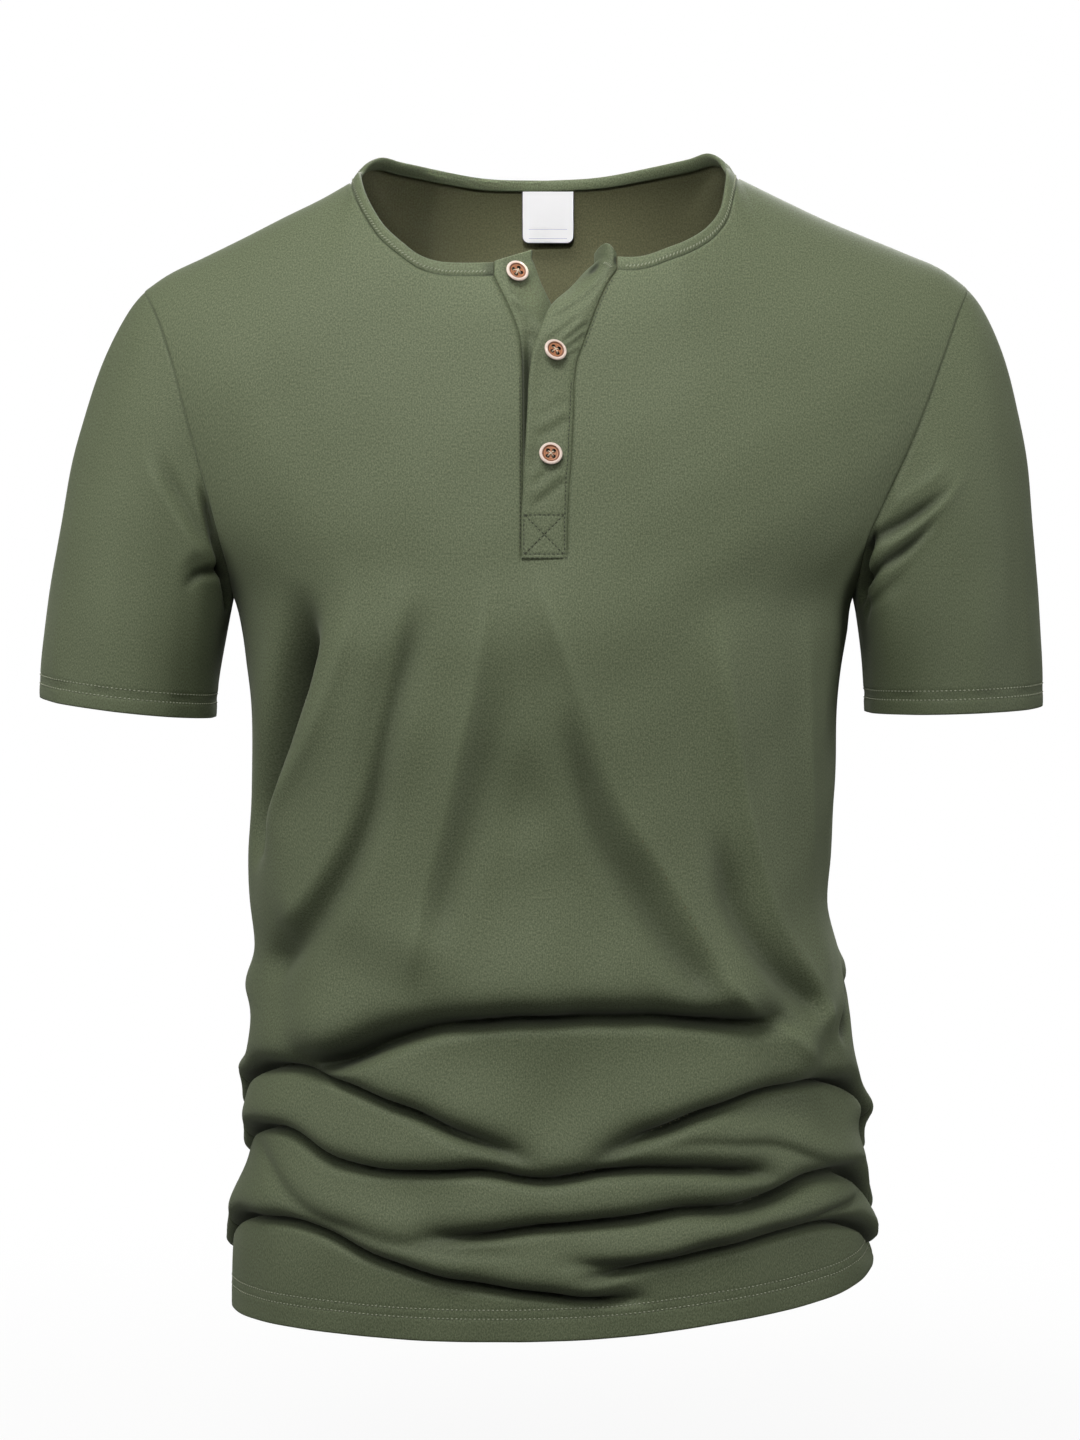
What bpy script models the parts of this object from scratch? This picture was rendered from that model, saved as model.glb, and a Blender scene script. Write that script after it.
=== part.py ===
"""Henley shirt with short sleeves, filled out as it is worn.

Sizes in the tables are millimetres. +Z is up, the front faces -Y and +X is the
wearer's left. The origin is the middle of the neck, level with the points where
the shoulder seams meet the neckband.

The body is a stack of superellipse sections. "around" is the distance along a
section from the middle of the front, negative towards the wearer's right, so
that a fold can run across a side seam on to the back.
"""

import math
from collections import namedtuple

import bmesh
import bpy
import numpy as np
from mathutils import Matrix, Vector

MM = 0.001

# Cloth and seams
WALL = 1.4
BAND_WALL = 2.2
PLACKET_WALL = 1.6
LABEL_WALL = 1.0
SEAM_GAP = 0.3
BAND_GAP = 0.36
ARMHOLE_GAP = 0.36

# Body form
SECTION_POWER = 2.3
GIRTH_HALF_WIDTH = 170.0
GIRTH_DEPTH = 112.0
UNDERARM = -238.0
HEM = -640.0
HEM_BLEND = 90.0

# Each level: height, half widths to the wearer's right and left, depths forward and back.
Level = namedtuple("Level", "z right left front back")
LEVELS = (
    Level(-650, 180.0, 184.5, 122, 104),
    Level(-600, 177.5, 183.0, 121, 103),
    Level(-560, 171.5, 177.0, 120, 100),
    Level(-520, 169.0, 173.0, 120, 97),
    Level(-496, 161.5, 168.5, 119, 95),
    Level(-472, 164.0, 170.0, 119, 93),
    Level(-446, 164.0, 166.0, 118, 90),
    Level(-412, 169.0, 159.5, 117, 88),
    Level(-385, 169.3, 162.0, 116, 88),
    Level(-350, 167.5, 163.7, 116, 90),
    Level(-310, 167.6, 164.8, 117, 94),
    Level(-280, 169.3, 167.8, 116, 97),
    Level(-260, 171.5, 171.0, 116, 99),
    Level(-238, 177.5, 174.5, 115, 100),
    Level(-200, 204, 206, 110, 101),
    Level(-150, 232, 238, 98, 97),
    Level(-90, 258, 264, 77, 88),
    Level(-30, 280, 285, 60, 74),
    Level(30, 295, 300, 52, 62),
)

# The armhole seam: height, and how far out it lies to the wearer's right and left.
Armhole = namedtuple("Armhole", "z right left")
ARMHOLE = (
    Armhole(-238, 177.5, 174.5),
    Armhole(-221, 179.5, 175.8),
    Armhole(-203, 182.9, 179.0),
    Armhole(-186, 187.0, 187.0),
    Armhole(-157, 195.2, 201.0),
    Armhole(-129, 203.1, 213.0),
    Armhole(-102, 210.5, 223.0),
    Armhole(-80, 219.0, 231.5),
    Armhole(-66, 227.4, 238.5),
)

# Top of the shoulders, and over the open neck the height at which front would meet back.
# "fall" is the height over which the cloth rounds over from front to top.
Ridge = namedtuple("Ridge", "x z fall")
SHOULDER_RIGHT = (
    Ridge(-245, -78.0, 80),
    Ridge(-227.4, -66.0, 80),
    Ridge(-216, -58.0, 82),
    Ridge(-193, -46.7, 85),
    Ridge(-170, -35.5, 88),
    Ridge(-148, -24.3, 90),
    Ridge(-125, -13.0, 93),
    Ridge(-111, -5.0, 94),
)
OVER_NECK = (
    Ridge(-111, -5.0, 94),
    Ridge(-107.5, 5.0, 94),
    Ridge(-101, 14.5, 93),
    Ridge(-85, 21.0, 90),
    Ridge(-63, 27.0, 87),
    Ridge(-38, 30.0, 82),
    Ridge(0, 32.0, 75),
    Ridge(38, 30.5, 82),
    Ridge(63, 28.5, 87),
    Ridge(85, 23.0, 90),
    Ridge(99, 18.0, 93),
    Ridge(105.5, 8.0, 94),
    Ridge(109, -2.5, 94),
)
SHOULDER_LEFT = (
    Ridge(109, -2.5, 94),
    Ridge(135, -15.2, 92),
    Ridge(158, -26.0, 90),
    Ridge(181, -35.6, 87),
    Ridge(203, -44.6, 84),
    Ridge(226, -55.0, 82),
    Ridge(238.5, -64.5, 80),
    Ridge(255, -80.0, 80),
)

# Neckline seams seen from the front, from the slot or the middle out to the shoulder.
Point = namedtuple("Point", "x z")
NECK_FRONT_RIGHT = (
    Point(-29.3, -60.4), Point(-46.0, -60.6), Point(-58.5, -60.0), Point(-69.0, -57.0),
    Point(-82.4, -47.9), Point(-93.2, -38.1), Point(-101.3, -25.9), Point(-106.8, -15.7),
    Point(-111.0, -5.0),
)
NECK_FRONT_LEFT = (
    Point(39.5, -57.2), Point(49.5, -57.4), Point(58.0, -55.6), Point(66.0, -52.5),
    Point(80.6, -46.8), Point(91.8, -39.8), Point(101.0, -28.5), Point(105.0, -16.0),
    Point(109.0, -2.5),
)
NECK_BACK_RIGHT = (
    Point(0, -4.8), Point(-38, -3.9), Point(-63, 0.0), Point(-85, 4.0),
    Point(-101, 5.9), Point(-107.5, 2.0), Point(-111, -5.0),
)
NECK_BACK_LEFT = (
    Point(0, -4.8), Point(31, -3.3), Point(66, 2.5), Point(85, 6.0),
    Point(99, 8.4), Point(105.5, 4.5), Point(109, -2.5),
)

# The slot for the placket, spread open at the top: height and both edges.
SLOT_BOTTOM = -214.0
SlotEdge = namedtuple("SlotEdge", "z right left")
SLOT = (
    SlotEdge(-240, -13.2, 11.8),
    SlotEdge(-192, -13.2, 11.8),
    SlotEdge(-163, -13.2, 13.5),
    SlotEdge(-133, -13.3, 15.1),
    SlotEdge(-119, -13.4, 15.5),
    SlotEdge(-108, -13.6, 17.0),
    SlotEdge(-97, -14.4, 21.0),
    SlotEdge(-84, -18.3, 25.7),
    SlotEdge(-74, -22.7, 29.6),
    SlotEdge(-63, -28.2, 35.2),
    SlotEdge(-56, -31.5, 40.2),
)

# Bulges of the bunched cloth at the side seams: side, height, size, and reach down and up.
Bulge = namedtuple("Bulge", "side z out below above")
BULGES = (
    Bulge(-1, -467, 7.0, 14, 14),
    Bulge(-1, -513, 7.0, 12, 9),
    Bulge(-1, -545, 2.6, 9, 9),
    Bulge(-1, -571, 2.6, 9, 8),
    Bulge(-1, -604, 0.5, 16, 13),
    Bulge(1, -474, 4.0, 20, 26),
    Bulge(1, -532, 8.5, 13, 14),
    Bulge(1, -592, 4.5, 10, 9),
    Bulge(1, -617, 4.0, 10, 9),
)
BULGE_REACH = 62.0

# The hem's height around the body.
HemPoint = namedtuple("HemPoint", "around z")
HEM_LINE = (
    HemPoint(-470, -634), HemPoint(-330, -636), HemPoint(-235, -642), HemPoint(-130, -642),
    HemPoint(-40, -643), HemPoint(30, -641), HemPoint(90, -635), HemPoint(150, -630),
    HemPoint(235, -622), HemPoint(330, -626), HemPoint(470, -634),
)

# Folds: points along the crease or the middle of a soft fold as (around, z), the ridge
# beside it, the crease itself, the reach of the ridge's gentle and steep sides, the
# lengths over which it dies away, and how far the ridge sags over the crease.
Fold = namedtuple("Fold", "name line ridge crease gentle steep fade_in fade_out sag")
BUNCH_FOLDS = (
    Fold("belly", ((-150, -488), (-96, -476), (-31, -466), (6, -465), (42, -466), (118, -466)),
         10.0, 5.0, 34, 8, 60, 50, 4.0),
    Fold("waist_right", ((-236, -514), (-196, -503), (-158, -497), (-115, -505), (-54, -524), (-18, -536)),
         8.0, 4.0, 22, 7, 42, 60, 3.5),
    Fold("waist_left", ((232, -535), (205, -516), (155, -505), (103, -511), (64, -524), (36, -531)),
         8.5, 4.5, 23, 7, 42, 55, 3.5),
    Fold("hip_middle", ((-225, -538), (-155, -533), (-115, -544), (-72, -549), (-38, -548), (-4, -550),
         (30, -545), (79, -545), (125, -547)), 7.0, 4.0, 18, 7, 42, 50, 3.0),
    Fold("hip_left", ((-62, -578), (-6, -577), (30, -573), (67, -569), (108, -565), (148, -555),
         (182, -553), (228, -581)), 7.5, 4.5, 20, 7, 55, 40, 3.0),
    Fold("hem_right", ((-226, -598), (-180, -583), (-148, -581), (-116, -590), (-67, -603), (-19, -612),
         (40, -620)), 8.5, 4.5, 20, 7, 42, 55, 3.5),
    Fold("hem_left", ((14, -602), (55, -597), (93, -593), (128, -586), (165, -582), (205, -592),
         (232, -606)), 7.0, 4.0, 16, 7, 40, 14, 3.0),
    Fold("back_waist_left", ((236, -512), (290, -497), (350, -491), (415, -500), (470, -511)),
         8.5, 4.0, 26, 8, 50, 60, 3.5),
    Fold("back_waist_right", ((-238, -500), (-290, -512), (-345, -520), (-410, -519), (-462, -508)),
         7.5, 4.0, 22, 7, 50, 55, 3.0),
    Fold("back_belt", ((300, -462), (350, -468), (410, -470), (470, -466), (530, -461), (600, -470)),
         7.0, 3.0, 30, 9, 50, 55, 3.0),
    Fold("back_hip_left", ((236, -563), (280, -551), (330, -546), (392, -553), (450, -560)),
         7.0, 4.0, 20, 7, 45, 55, 3.0),
    Fold("back_hip_right", ((-238, -556), (-285, -549), (-340, -554), (-400, -562), (-450, -561)),
         7.0, 4.0, 20, 7, 45, 55, 3.0),
    Fold("back_hem_left", ((240, -605), (285, -594), (340, -589), (400, -594), (460, -603)),
         7.5, 4.0, 18, 7, 42, 50, 3.0),
    Fold("back_hem_right", ((-240, -600), (-290, -590), (-345, -594), (-395, -602)),
         6.5, 3.5, 18, 7, 42, 50, 3.0),
)
SOFT_FOLDS = (
    Fold("armpit_right_hollow", ((-134, -225), (-147, -261), (-160, -287), (-180, -312), (-196, -340)),
         0.0, 5.0, 12, 12, 30, 40, 0.0),
    Fold("armpit_right_roll", ((-103, -240), (-125, -277), (-146, -313), (-172, -345), (-196, -373)),
         4.5, 0.0, 13, 13, 30, 40, 0.0),
    Fold("chest_right_hollow", ((-62, -247), (-75, -285), (-90, -320), (-106, -369), (-140, -416)),
         0.0, 4.0, 14, 14, 40, 60, 0.0),
    Fold("placket_roll_right", ((-45, -250), (-47, -300), (-62, -350), (-80, -400), (-92, -440)),
         3.5, 0.0, 14, 14, 40, 50, 0.0),
    Fold("placket_roll_left", ((2, -245), (16, -292), (33, -335), (60, -378), (92, -415), (130, -470)),
         4.5, 0.0, 15, 15, 30, 30, 0.0),
    Fold("placket_hollow_left", ((4, -310), (16, -347), (36, -392), (58, -420), (84, -440)),
         0.0, 4.5, 13, 13, 50, 40, 0.0),
    Fold("chest_left_roll", ((96, -262), (103, -315), (112, -355), (132, -405), (152, -440)),
         4.5, 0.0, 13, 13, 40, 40, 0.0),
    Fold("chest_left_hollow", ((78, -300), (90, -350), (112, -400), (140, -450), (160, -478)),
         0.0, 4.5, 13, 13, 50, 30, 0.0),
    Fold("blade_right_hollow", ((-300, -225), (-320, -285), (-350, -345), (-395, -400)),
         0.0, 5.0, 17, 17, 50, 60, 0.0),
    Fold("blade_left_hollow", ((300, -225), (325, -290), (345, -350), (385, -410)),
         0.0, 5.0, 17, 17, 50, 60, 0.0),
    Fold("blade_right_roll", ((-330, -230), (-352, -290), (-390, -350), (-430, -390)),
         4.0, 0.0, 18, 18, 50, 60, 0.0),
    Fold("blade_left_roll", ((335, -235), (358, -300), (385, -360), (428, -405)),
         4.0, 0.0, 18, 18, 50, 60, 0.0),
)

# Sleeves: the cuff's middle, half width, half depth and drop from its outer to its inner end.
Cuff = namedtuple("Cuff", "x z half_width half_depth drop")
CUFF_RIGHT = Cuff(-237.8, -301.5, 50.0, 66.0, 11.5)
CUFF_LEFT = Cuff(232.0, -302.5, 50.5, 66.0, 3.5)

# The way the cloth leaves the armhole and enters the cuff, at the shoulder, side and underarm.
Pull = namedtuple("Pull", "outward down reach")
PULL_SHOULDER = Pull(0.72, 0.69, 160.0)
PULL_SIDE = Pull(0.75, 0.66, 130.0)
PULL_UNDERARM = Pull(0.26, 0.97, 50.0)
CUFF_LEAN = 0.03
FOLD_START = 10.0
UNDERARM_SHARE = 0.18
RIM_LEAN = 0.25

# Sleeve folds: (around from the shoulder, down from the armhole), negative around is the front.
SLEEVE_FOLDS_RIGHT = (
    Fold("underarm_crease", ((-178, 6), (-150, 22), (-118, 30), (-92, 44)), 4.0, 3.5, 12, 6, 14, 30, 0.0),
    Fold("seam_roll", ((-70, 14), (-105, 14), (-140, 12)), 2.5, 0.0, 9, 9, 24, 24, 0.0),
    Fold("back_underarm", ((178, 8), (145, 24), (110, 34)), 4.0, 3.0, 13, 7, 14, 30, 0.0),
    Fold("back_roll", ((70, 16), (105, 18), (140, 14)), 2.5, 0.0, 10, 10, 24, 24, 0.0),
)
SLEEVE_FOLDS_LEFT = (
    Fold("upper_crease", ((-140, 6), (-112, 16), (-88, 26)), 4.0, 3.5, 13, 6, 14, 30, 0.0),
    Fold("underarm_crease", ((-182, 6), (-150, 22), (-122, 32), (-96, 44), (-76, 52)),
         4.5, 4.0, 14, 6, 14, 34, 0.0),
    Fold("back_upper", ((140, 8), (108, 20), (84, 30)), 4.0, 3.0, 14, 7, 14, 30, 0.0),
    Fold("back_underarm", ((180, 8), (145, 26), (108, 38)), 4.0, 3.0, 13, 7, 14, 30, 0.0),
)

# Neckband: part of the way round from its right end, how it leans in and up, and its height.
Band = namedtuple("Band", "part inward up height")
BAND = (
    Band(0.00, 0.30, 0.95, 8.2),
    Band(0.22, 0.45, 0.89, 8.4),
    Band(0.30, 0.72, 0.70, 8.8),
    Band(0.40, 0.55, 0.84, 7.6),
    Band(0.52, 0.20, 0.98, 6.2),
    Band(0.64, 0.55, 0.84, 7.6),
    Band(0.74, 0.72, 0.70, 8.8),
    Band(0.84, 0.45, 0.89, 8.4),
    Band(1.00, 0.30, 0.95, 8.2),
)
BAND_ROUND = 0.9
BAND_CROWN = (0.3, 0.7)

# Plackets: height of the seam edge, then the free edge's offset across, back and up from
# it, the strip's own outward bow, how far its middle peaks up, and its lift off the panel.
Strip = namedtuple("Strip", "z across back up bow peak lift")
PLACKET_UNDER = (
    Strip(-214, 23.8, 0.0, 0.0, 0.0, 0.0, 0.0),
    Strip(-190, 24.0, 0.0, 0.0, 0.0, 0.0, 0.0),
    Strip(-163, 25.2, 0.3, 0.0, 0.0, 0.0, 0.0),
    Strip(-119, 26.2, 2.2, 1.0, 0.0, 0.0, 0.0),
    Strip(-97, 24.4, 7.0, 4.8, 0.4, 0.0, 0.0),
    Strip(-84, 21.6, 11.0, 7.8, 0.9, 0.0, 0.0),
    Strip(-74, 20.4, 12.0, 9.8, 1.2, 0.0, 0.0),
    Strip(-63, 21.5, 10.0, 10.4, 1.2, 0.0, 0.0),
    Strip(-52, 22.0, 10.6, 6.7, 1.0, 0.0, 0.0),
)
PLACKET_OVER = (
    Strip(-214, -25.0, 0.0, 0.0, 0.0, 0.0, 2.1),
    Strip(-163, -25.4, 0.0, 0.0, 0.2, 0.0, 2.1),
    Strip(-133, -25.4, -0.4, 0.4, 0.5, 0.0, 2.1),
    Strip(-119, -25.0, -0.3, 2.0, 0.8, 0.0, 2.1),
    Strip(-108, -24.4, 0.0, 6.0, 1.0, 0.0, 2.1),
    Strip(-97, -24.0, 1.0, 8.7, 1.2, 0.0, 1.8),
    Strip(-84, -22.7, 6.5, 8.5, 1.8, 0.0, 1.2),
    Strip(-74, -17.1, 14.5, 7.7, 2.4, 0.5, 0.7),
    Strip(-63, -13.8, 18.5, 6.0, 2.8, 3.0, 0.4),
    Strip(-52, -13.5, 17.0, 0.5, 2.8, 6.5, 0.3),
)
STRIP_TURN = 1.6
PLACKET_FOOT = 2.0

# Neck label, hanging inside the back from the band's seam.
LABEL_X = 1.2
LABEL_WIDTH = 30.0
LABEL_HEIGHT = 29.0
LABEL_CORNER = 4.0
LABEL_LEAN = 0.18
LABEL_FORWARD = 1.3
LABEL_COLUMNS = 14
LABEL_ROWS = 3

# Buttons: four holes, a rounded rim and a dished middle.
BUTTON_DIAMETER = 12.8
BUTTON_THICKNESS = 2.6
BUTTON_HOLE_DIAMETER = 1.7
BUTTON_HOLE_PITCH = 2.7
BUTTON_HOLE_SIDES = 8
BUTTON_SIDES = 18
BUTTON_LIFT = 0.6
# The button's section from the middle of its back to the middle of its dish, as parts of
# its radius and thickness.
Turn = namedtuple("Turn", "radius height")
BUTTON_PROFILE = (
    Turn(0.00, 0.00), Turn(0.72, 0.00), Turn(0.95, 0.28), Turn(1.00, 0.60), Turn(0.94, 0.90),
    Turn(0.82, 1.00), Turn(0.66, 0.92), Turn(0.52, 0.73), Turn(0.00, 0.73),
)
Button = namedtuple("Button", "name strip across z")
BUTTONS = (
    Button("button_top", "under", 0.55, -65.0),
    Button("button_middle", "over", 0.56, -108.0),
    Button("button_bottom", "over", 0.465, -160.0),
)

# Rows and columns of the walls
BUNCH_TOP = -436.0
BUNCH_ROWS = 36
WAIST_ROWS = 11
CHEST_ROWS = 11
SLOT_ROWS = 2
FRONT_COLUMNS = 14
BACK_COLUMNS = 11
NECK_SHARE = 0.5
BACK_BUNCH_ROWS = 27
SLEEVE_ROWS = 12
STRIP_COLUMNS = 4
TOP_BUNCHING = 1.6
FOLD_STEPS = 10
SPREAD = 95.0
SPREAD_SHARE = 0.5
LINE_SAMPLES = 121

# Finishes: colour, roughness, metallic
Finish = namedtuple("Finish", "name colour roughness metallic")
JERSEY = Finish("jersey", (0.095, 0.125, 0.070), 0.85, 0.0)
BAND_JERSEY = Finish("band_jersey", (0.100, 0.132, 0.074), 0.85, 0.0)
PLACKET_JERSEY = Finish("placket_jersey", (0.090, 0.120, 0.067), 0.85, 0.0)
SATIN = Finish("label_satin", (0.85, 0.85, 0.90), 0.50, 0.0)
WOOD = Finish("button_wood", (0.42, 0.16, 0.07), 0.45, 0.0)


def clear_scene():
    for obj in list(bpy.data.objects):
        bpy.data.objects.remove(obj, do_unlink=True)


def material(finish):
    """The material of this finish, made once."""
    made = bpy.data.materials.get(finish.name)
    if made:
        return made
    made = bpy.data.materials.new(finish.name)
    made.use_nodes = True
    shader = made.node_tree.nodes["Principled BSDF"]
    shader.inputs["Base Color"].default_value = (*finish.colour, 1.0)
    shader.inputs["Roughness"].default_value = finish.roughness
    shader.inputs["Metallic"].default_value = finish.metallic
    made.diffuse_color = (*finish.colour, 1.0)
    return made


def through(x, known_x, known_y):
    """A smooth curve through a table's points, flat beyond its ends."""
    known_x = np.asarray(known_x, float)
    known_y = np.asarray(known_y, float)
    slope = np.gradient(known_y, known_x)
    x = np.clip(x, known_x[0], known_x[-1])
    i = np.clip(np.searchsorted(known_x, x) - 1, 0, len(known_x) - 2)
    span = known_x[i + 1] - known_x[i]
    t = (x - known_x[i]) / span
    rise = known_y[i] + (known_y[i + 1] - known_y[i]) * t * t * (3 - 2 * t)
    return rise + span * t * (1 - t) * ((1 - t) * slope[i] - t * slope[i + 1])


def column(table, name, at, key):
    """The named column of a table at each value of its key column."""
    return through(at, [getattr(row, key) for row in table], [getattr(row, name) for row in table])


def ease(t):
    t = np.clip(t, 0.0, 1.0)
    return t * t * (3 - 2 * t)


def girth_table():
    """Angle and distance around a middle section, from its front to its side."""
    angle = np.linspace(0, math.pi / 2, 361)
    x = GIRTH_HALF_WIDTH * np.sin(angle) ** (2 / SECTION_POWER)
    y = GIRTH_DEPTH * np.cos(angle).clip(0) ** (2 / SECTION_POWER)
    steps = np.hypot(np.diff(x), np.diff(y))
    return angle, np.concatenate([[0], np.cumsum(steps)])


GIRTH_ANGLE, GIRTH_LENGTH = girth_table()
SIDE_SEAM = GIRTH_LENGTH[-1]


def widths(z, x):
    """The section's half width at this height, on the side that x lies."""
    return np.where(x < 0, column(LEVELS, "right", z, "z"), column(LEVELS, "left", z, "z"))


def depths(z, face):
    return column(LEVELS, "front" if face < 0 else "back", z, "z")


def ridge(name, x):
    """The named column of the ridge tables at each x."""
    shoulder = np.where(x < 0, column(SHOULDER_RIGHT, name, x, "x"), column(SHOULDER_LEFT, name, x, "x"))
    over_neck = (x > OVER_NECK[0].x) & (x < OVER_NECK[-1].x)
    return np.where(over_neck, column(OVER_NECK, name, x, "x"), shoulder)


def rounding(x, z):
    """How much of the section's depth is left where the shoulders round over."""
    fall = ridge("fall", x)
    t = np.clip((z - ridge("z", x) + fall) / fall, 0, 1)
    return np.sqrt(1 - t * t)


def bulge(side, z):
    """How far the bunched cloth stands out at a side seam."""
    total = np.zeros_like(z)
    for row in BULGES:
        if row.side == side:
            reach = np.where(z < row.z, row.below, row.above)
            total += row.out * np.exp(-(((z - row.z) / reach) ** 2))
    return total


def hem_height(around):
    return column(HEM_LINE, "z", around, "around")


def along_line(points, part):
    """Points of a short table at these parts of its length."""
    points = np.array(points, float)
    run = np.concatenate([[0], np.cumsum(np.linalg.norm(np.diff(points, axis=0), axis=1))])
    at = np.asarray(part) * run[-1]
    return np.stack([through(at, run, points[:, 0]), through(at, run, points[:, 1])], axis=-1)


def fold_relief(around, height, folds, wrap=None):
    """Height of the folds over the form, and how far each point sags, at each place."""
    place = np.stack([np.ravel(around), np.ravel(height)], axis=-1)
    relief = np.zeros(len(place))
    sag = np.zeros(len(place))
    for fold in folds:
        line = along_line(fold.line, np.linspace(0, 1, (len(fold.line) - 1) * FOLD_STEPS + 1))
        start, along = line[:-1], np.diff(line, axis=0)
        length = np.linalg.norm(along, axis=1)
        run = np.concatenate([[0], np.cumsum(length)])
        lean = 1.0 if line[-1, 0] > line[0, 0] else -1.0
        for shift in (0.0,) if wrap is None else (-wrap, 0.0, wrap):
            offset = place[:, None, :] + (shift, 0.0) - start[None]
            part = np.clip((offset * along).sum(-1) / length**2, 0, 1)
            gap = offset - part[..., None] * along
            distance = np.linalg.norm(gap, axis=-1)
            nearest = distance.argmin(axis=1)
            pick = np.arange(len(place)), nearest
            cross = along[nearest, 0] * gap[pick][:, 1] - along[nearest, 1] * gap[pick][:, 0]
            above = np.where(cross * lean >= 0, 1.0, -1.0) * distance[pick]
            travelled = run[nearest] + part[pick] * length[nearest]
            left = run[-1] - travelled
            strength = ease(travelled / fold.fade_in) * ease(left / fold.fade_out)
            hump = above - fold.steep * (1.0 if fold.crease and fold.ridge else 0.0)
            reach = np.where(hump > 0, fold.gentle, fold.steep)
            swell = fold.ridge * np.exp(-((hump / reach) ** 2))
            pinch = fold.crease * np.exp(-((above / fold.steep) ** 2))
            relief += strength * (swell - pinch)
            sag += strength * fold.sag * np.exp(-((hump / reach) ** 2))
    return relief.reshape(np.shape(around)), sag.reshape(np.shape(around))


def place_on_form(x, z, face):
    """Points of the folded cloth over the form, from their place seen from the front."""
    half_width = widths(z, x)
    depth = depths(z, face)
    share = np.clip(np.abs(x) / half_width, 0, 1) ** SECTION_POWER
    y_share = (1 - share) ** (1 / SECTION_POWER)
    round_over = rounding(x, z)
    y = face * depth * y_share * round_over
    angle = np.arcsin(np.sqrt(share))
    around = np.interp(angle, GIRTH_ANGLE, GIRTH_LENGTH)
    from_seam = SIDE_SEAM - around
    around = np.where(face < 0, around, 2 * SIDE_SEAM - around) * np.where(x < 0, -1.0, 1.0)
    out_x = np.sign(x) * (np.abs(x) / half_width) ** (SECTION_POWER - 1) / half_width
    out_y = face * y_share ** (SECTION_POWER - 1) / depth
    size = np.hypot(out_x, out_y)
    relief, sag = fold_relief(around, z, BUNCH_FOLDS + SOFT_FOLDS, 4 * SIDE_SEAM)
    bulges = np.where(x < 0, bulge(-1, z), bulge(1, z)) * (1 - ease(from_seam / BULGE_REACH))
    lift = (relief + bulges) * round_over
    return np.stack([x + lift * out_x / size, y + lift * out_y / size, z - sag], axis=-1)


def even_parts(points, face, count):
    """Parts of a line that divide its length over the form evenly."""
    parts = np.linspace(0, 1, LINE_SAMPLES)
    x, z = along_line(points, parts).T
    steps = np.diff(place_on_form(x, z, face), axis=0)
    run = np.concatenate([[0], np.cumsum(np.linalg.norm(steps, axis=1))])
    return np.interp(np.linspace(0, run[-1], count + 1), run, parts)


def chest_fractions(slot):
    """Rows from the underarm to the top, closer together where the shoulder rounds over."""
    low = np.linspace(0, slot, SLOT_ROWS + 1)
    high = 1 - (1 - np.linspace(0, 1, CHEST_ROWS + 1)) ** TOP_BUNCHING
    return np.concatenate([low[:-1], slot + (1 - slot) * high])


def half_chest(face, side, columns, fractions):
    """(x, z) of the upper half panel on one side, from its inner edge out to the armhole."""
    name = "right" if side < 0 else "left"
    if face < 0:
        neck = NECK_FRONT_RIGHT if side < 0 else NECK_FRONT_LEFT
    else:
        neck = NECK_BACK_RIGHT if side < 0 else NECK_BACK_LEFT
    tip_x = side * getattr(ARMHOLE[-1], name)
    tip = Point(tip_x, float(ridge("z", np.array(tip_x))))
    inner_z = UNDERARM + (neck[0].z - UNDERARM) * fractions
    inner_x = column(SLOT, name, inner_z, "z") if face < 0 else np.zeros_like(inner_z)
    inner = np.stack([inner_x, inner_z], axis=-1)
    outer_z = UNDERARM + (tip.z - UNDERARM) * fractions
    outer = np.stack([side * column(ARMHOLE, name, outer_z, "z"), outer_z], axis=-1)
    neck_columns = round(columns * NECK_SHARE)
    neck_part = along_line(neck, even_parts(neck, face, neck_columns))
    ridge_x = np.linspace(neck[-1].x, tip.x, columns - neck_columns + 1)[1:]
    ridge_part = np.stack([ridge_x, ridge("z", ridge_x)], axis=-1)
    top = np.concatenate([neck_part, ridge_part])
    start = (abs(inner_x[0]) / abs(outer[0, 0])) ** (SECTION_POWER / 2)
    first = np.interp(math.asin(start), GIRTH_ANGLE, GIRTH_LENGTH)
    around = np.linspace(first, SIDE_SEAM, columns + 1)
    share = np.sin(np.interp(around, GIRTH_LENGTH, GIRTH_ANGLE)) ** (2 / SECTION_POWER)
    bottom = np.stack([side * abs(outer[0, 0]) * share, np.full(columns + 1, UNDERARM)], axis=-1)
    u = np.linspace(0, 1, columns + 1)[None, :, None]
    v = fractions[:, None, None]
    across = (1 - u) * inner[:, None] + u * outer[:, None]
    upward = (1 - v) * bottom[None] + v * top[None]
    corners = (1 - u) * ((1 - v) * inner[0] + v * inner[-1]) + u * ((1 - v) * outer[0] + v * outer[-1])
    flat = across + upward - corners
    if face < 0:
        below = np.clip((1 - fractions) / SPREAD_SHARE, 0, 1)[:, None]
        flat[..., 0] += side * SPREAD * np.sin(math.pi * u[..., 0]) * below * (1 - below) ** 2
    return flat, around


def lower_half(face, side, around, levels):
    """(x, z) of the lower half panel on one side."""
    share = np.sin(np.interp(around, GIRTH_LENGTH, GIRTH_ANGLE)) ** (2 / SECTION_POWER)
    whole_way = around if face < 0 else 2 * SIDE_SEAM - around
    hem = hem_height(side * whole_way)[None]
    near_hem = ease(1 - (levels - HEM) / HEM_BLEND)[:, None]
    z = levels[:, None] + near_hem * (hem - HEM)
    name = "right" if side < 0 else "left"
    return np.stack([side * share[None] * column(LEVELS, name, z, "z"), z], axis=-1)


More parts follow.
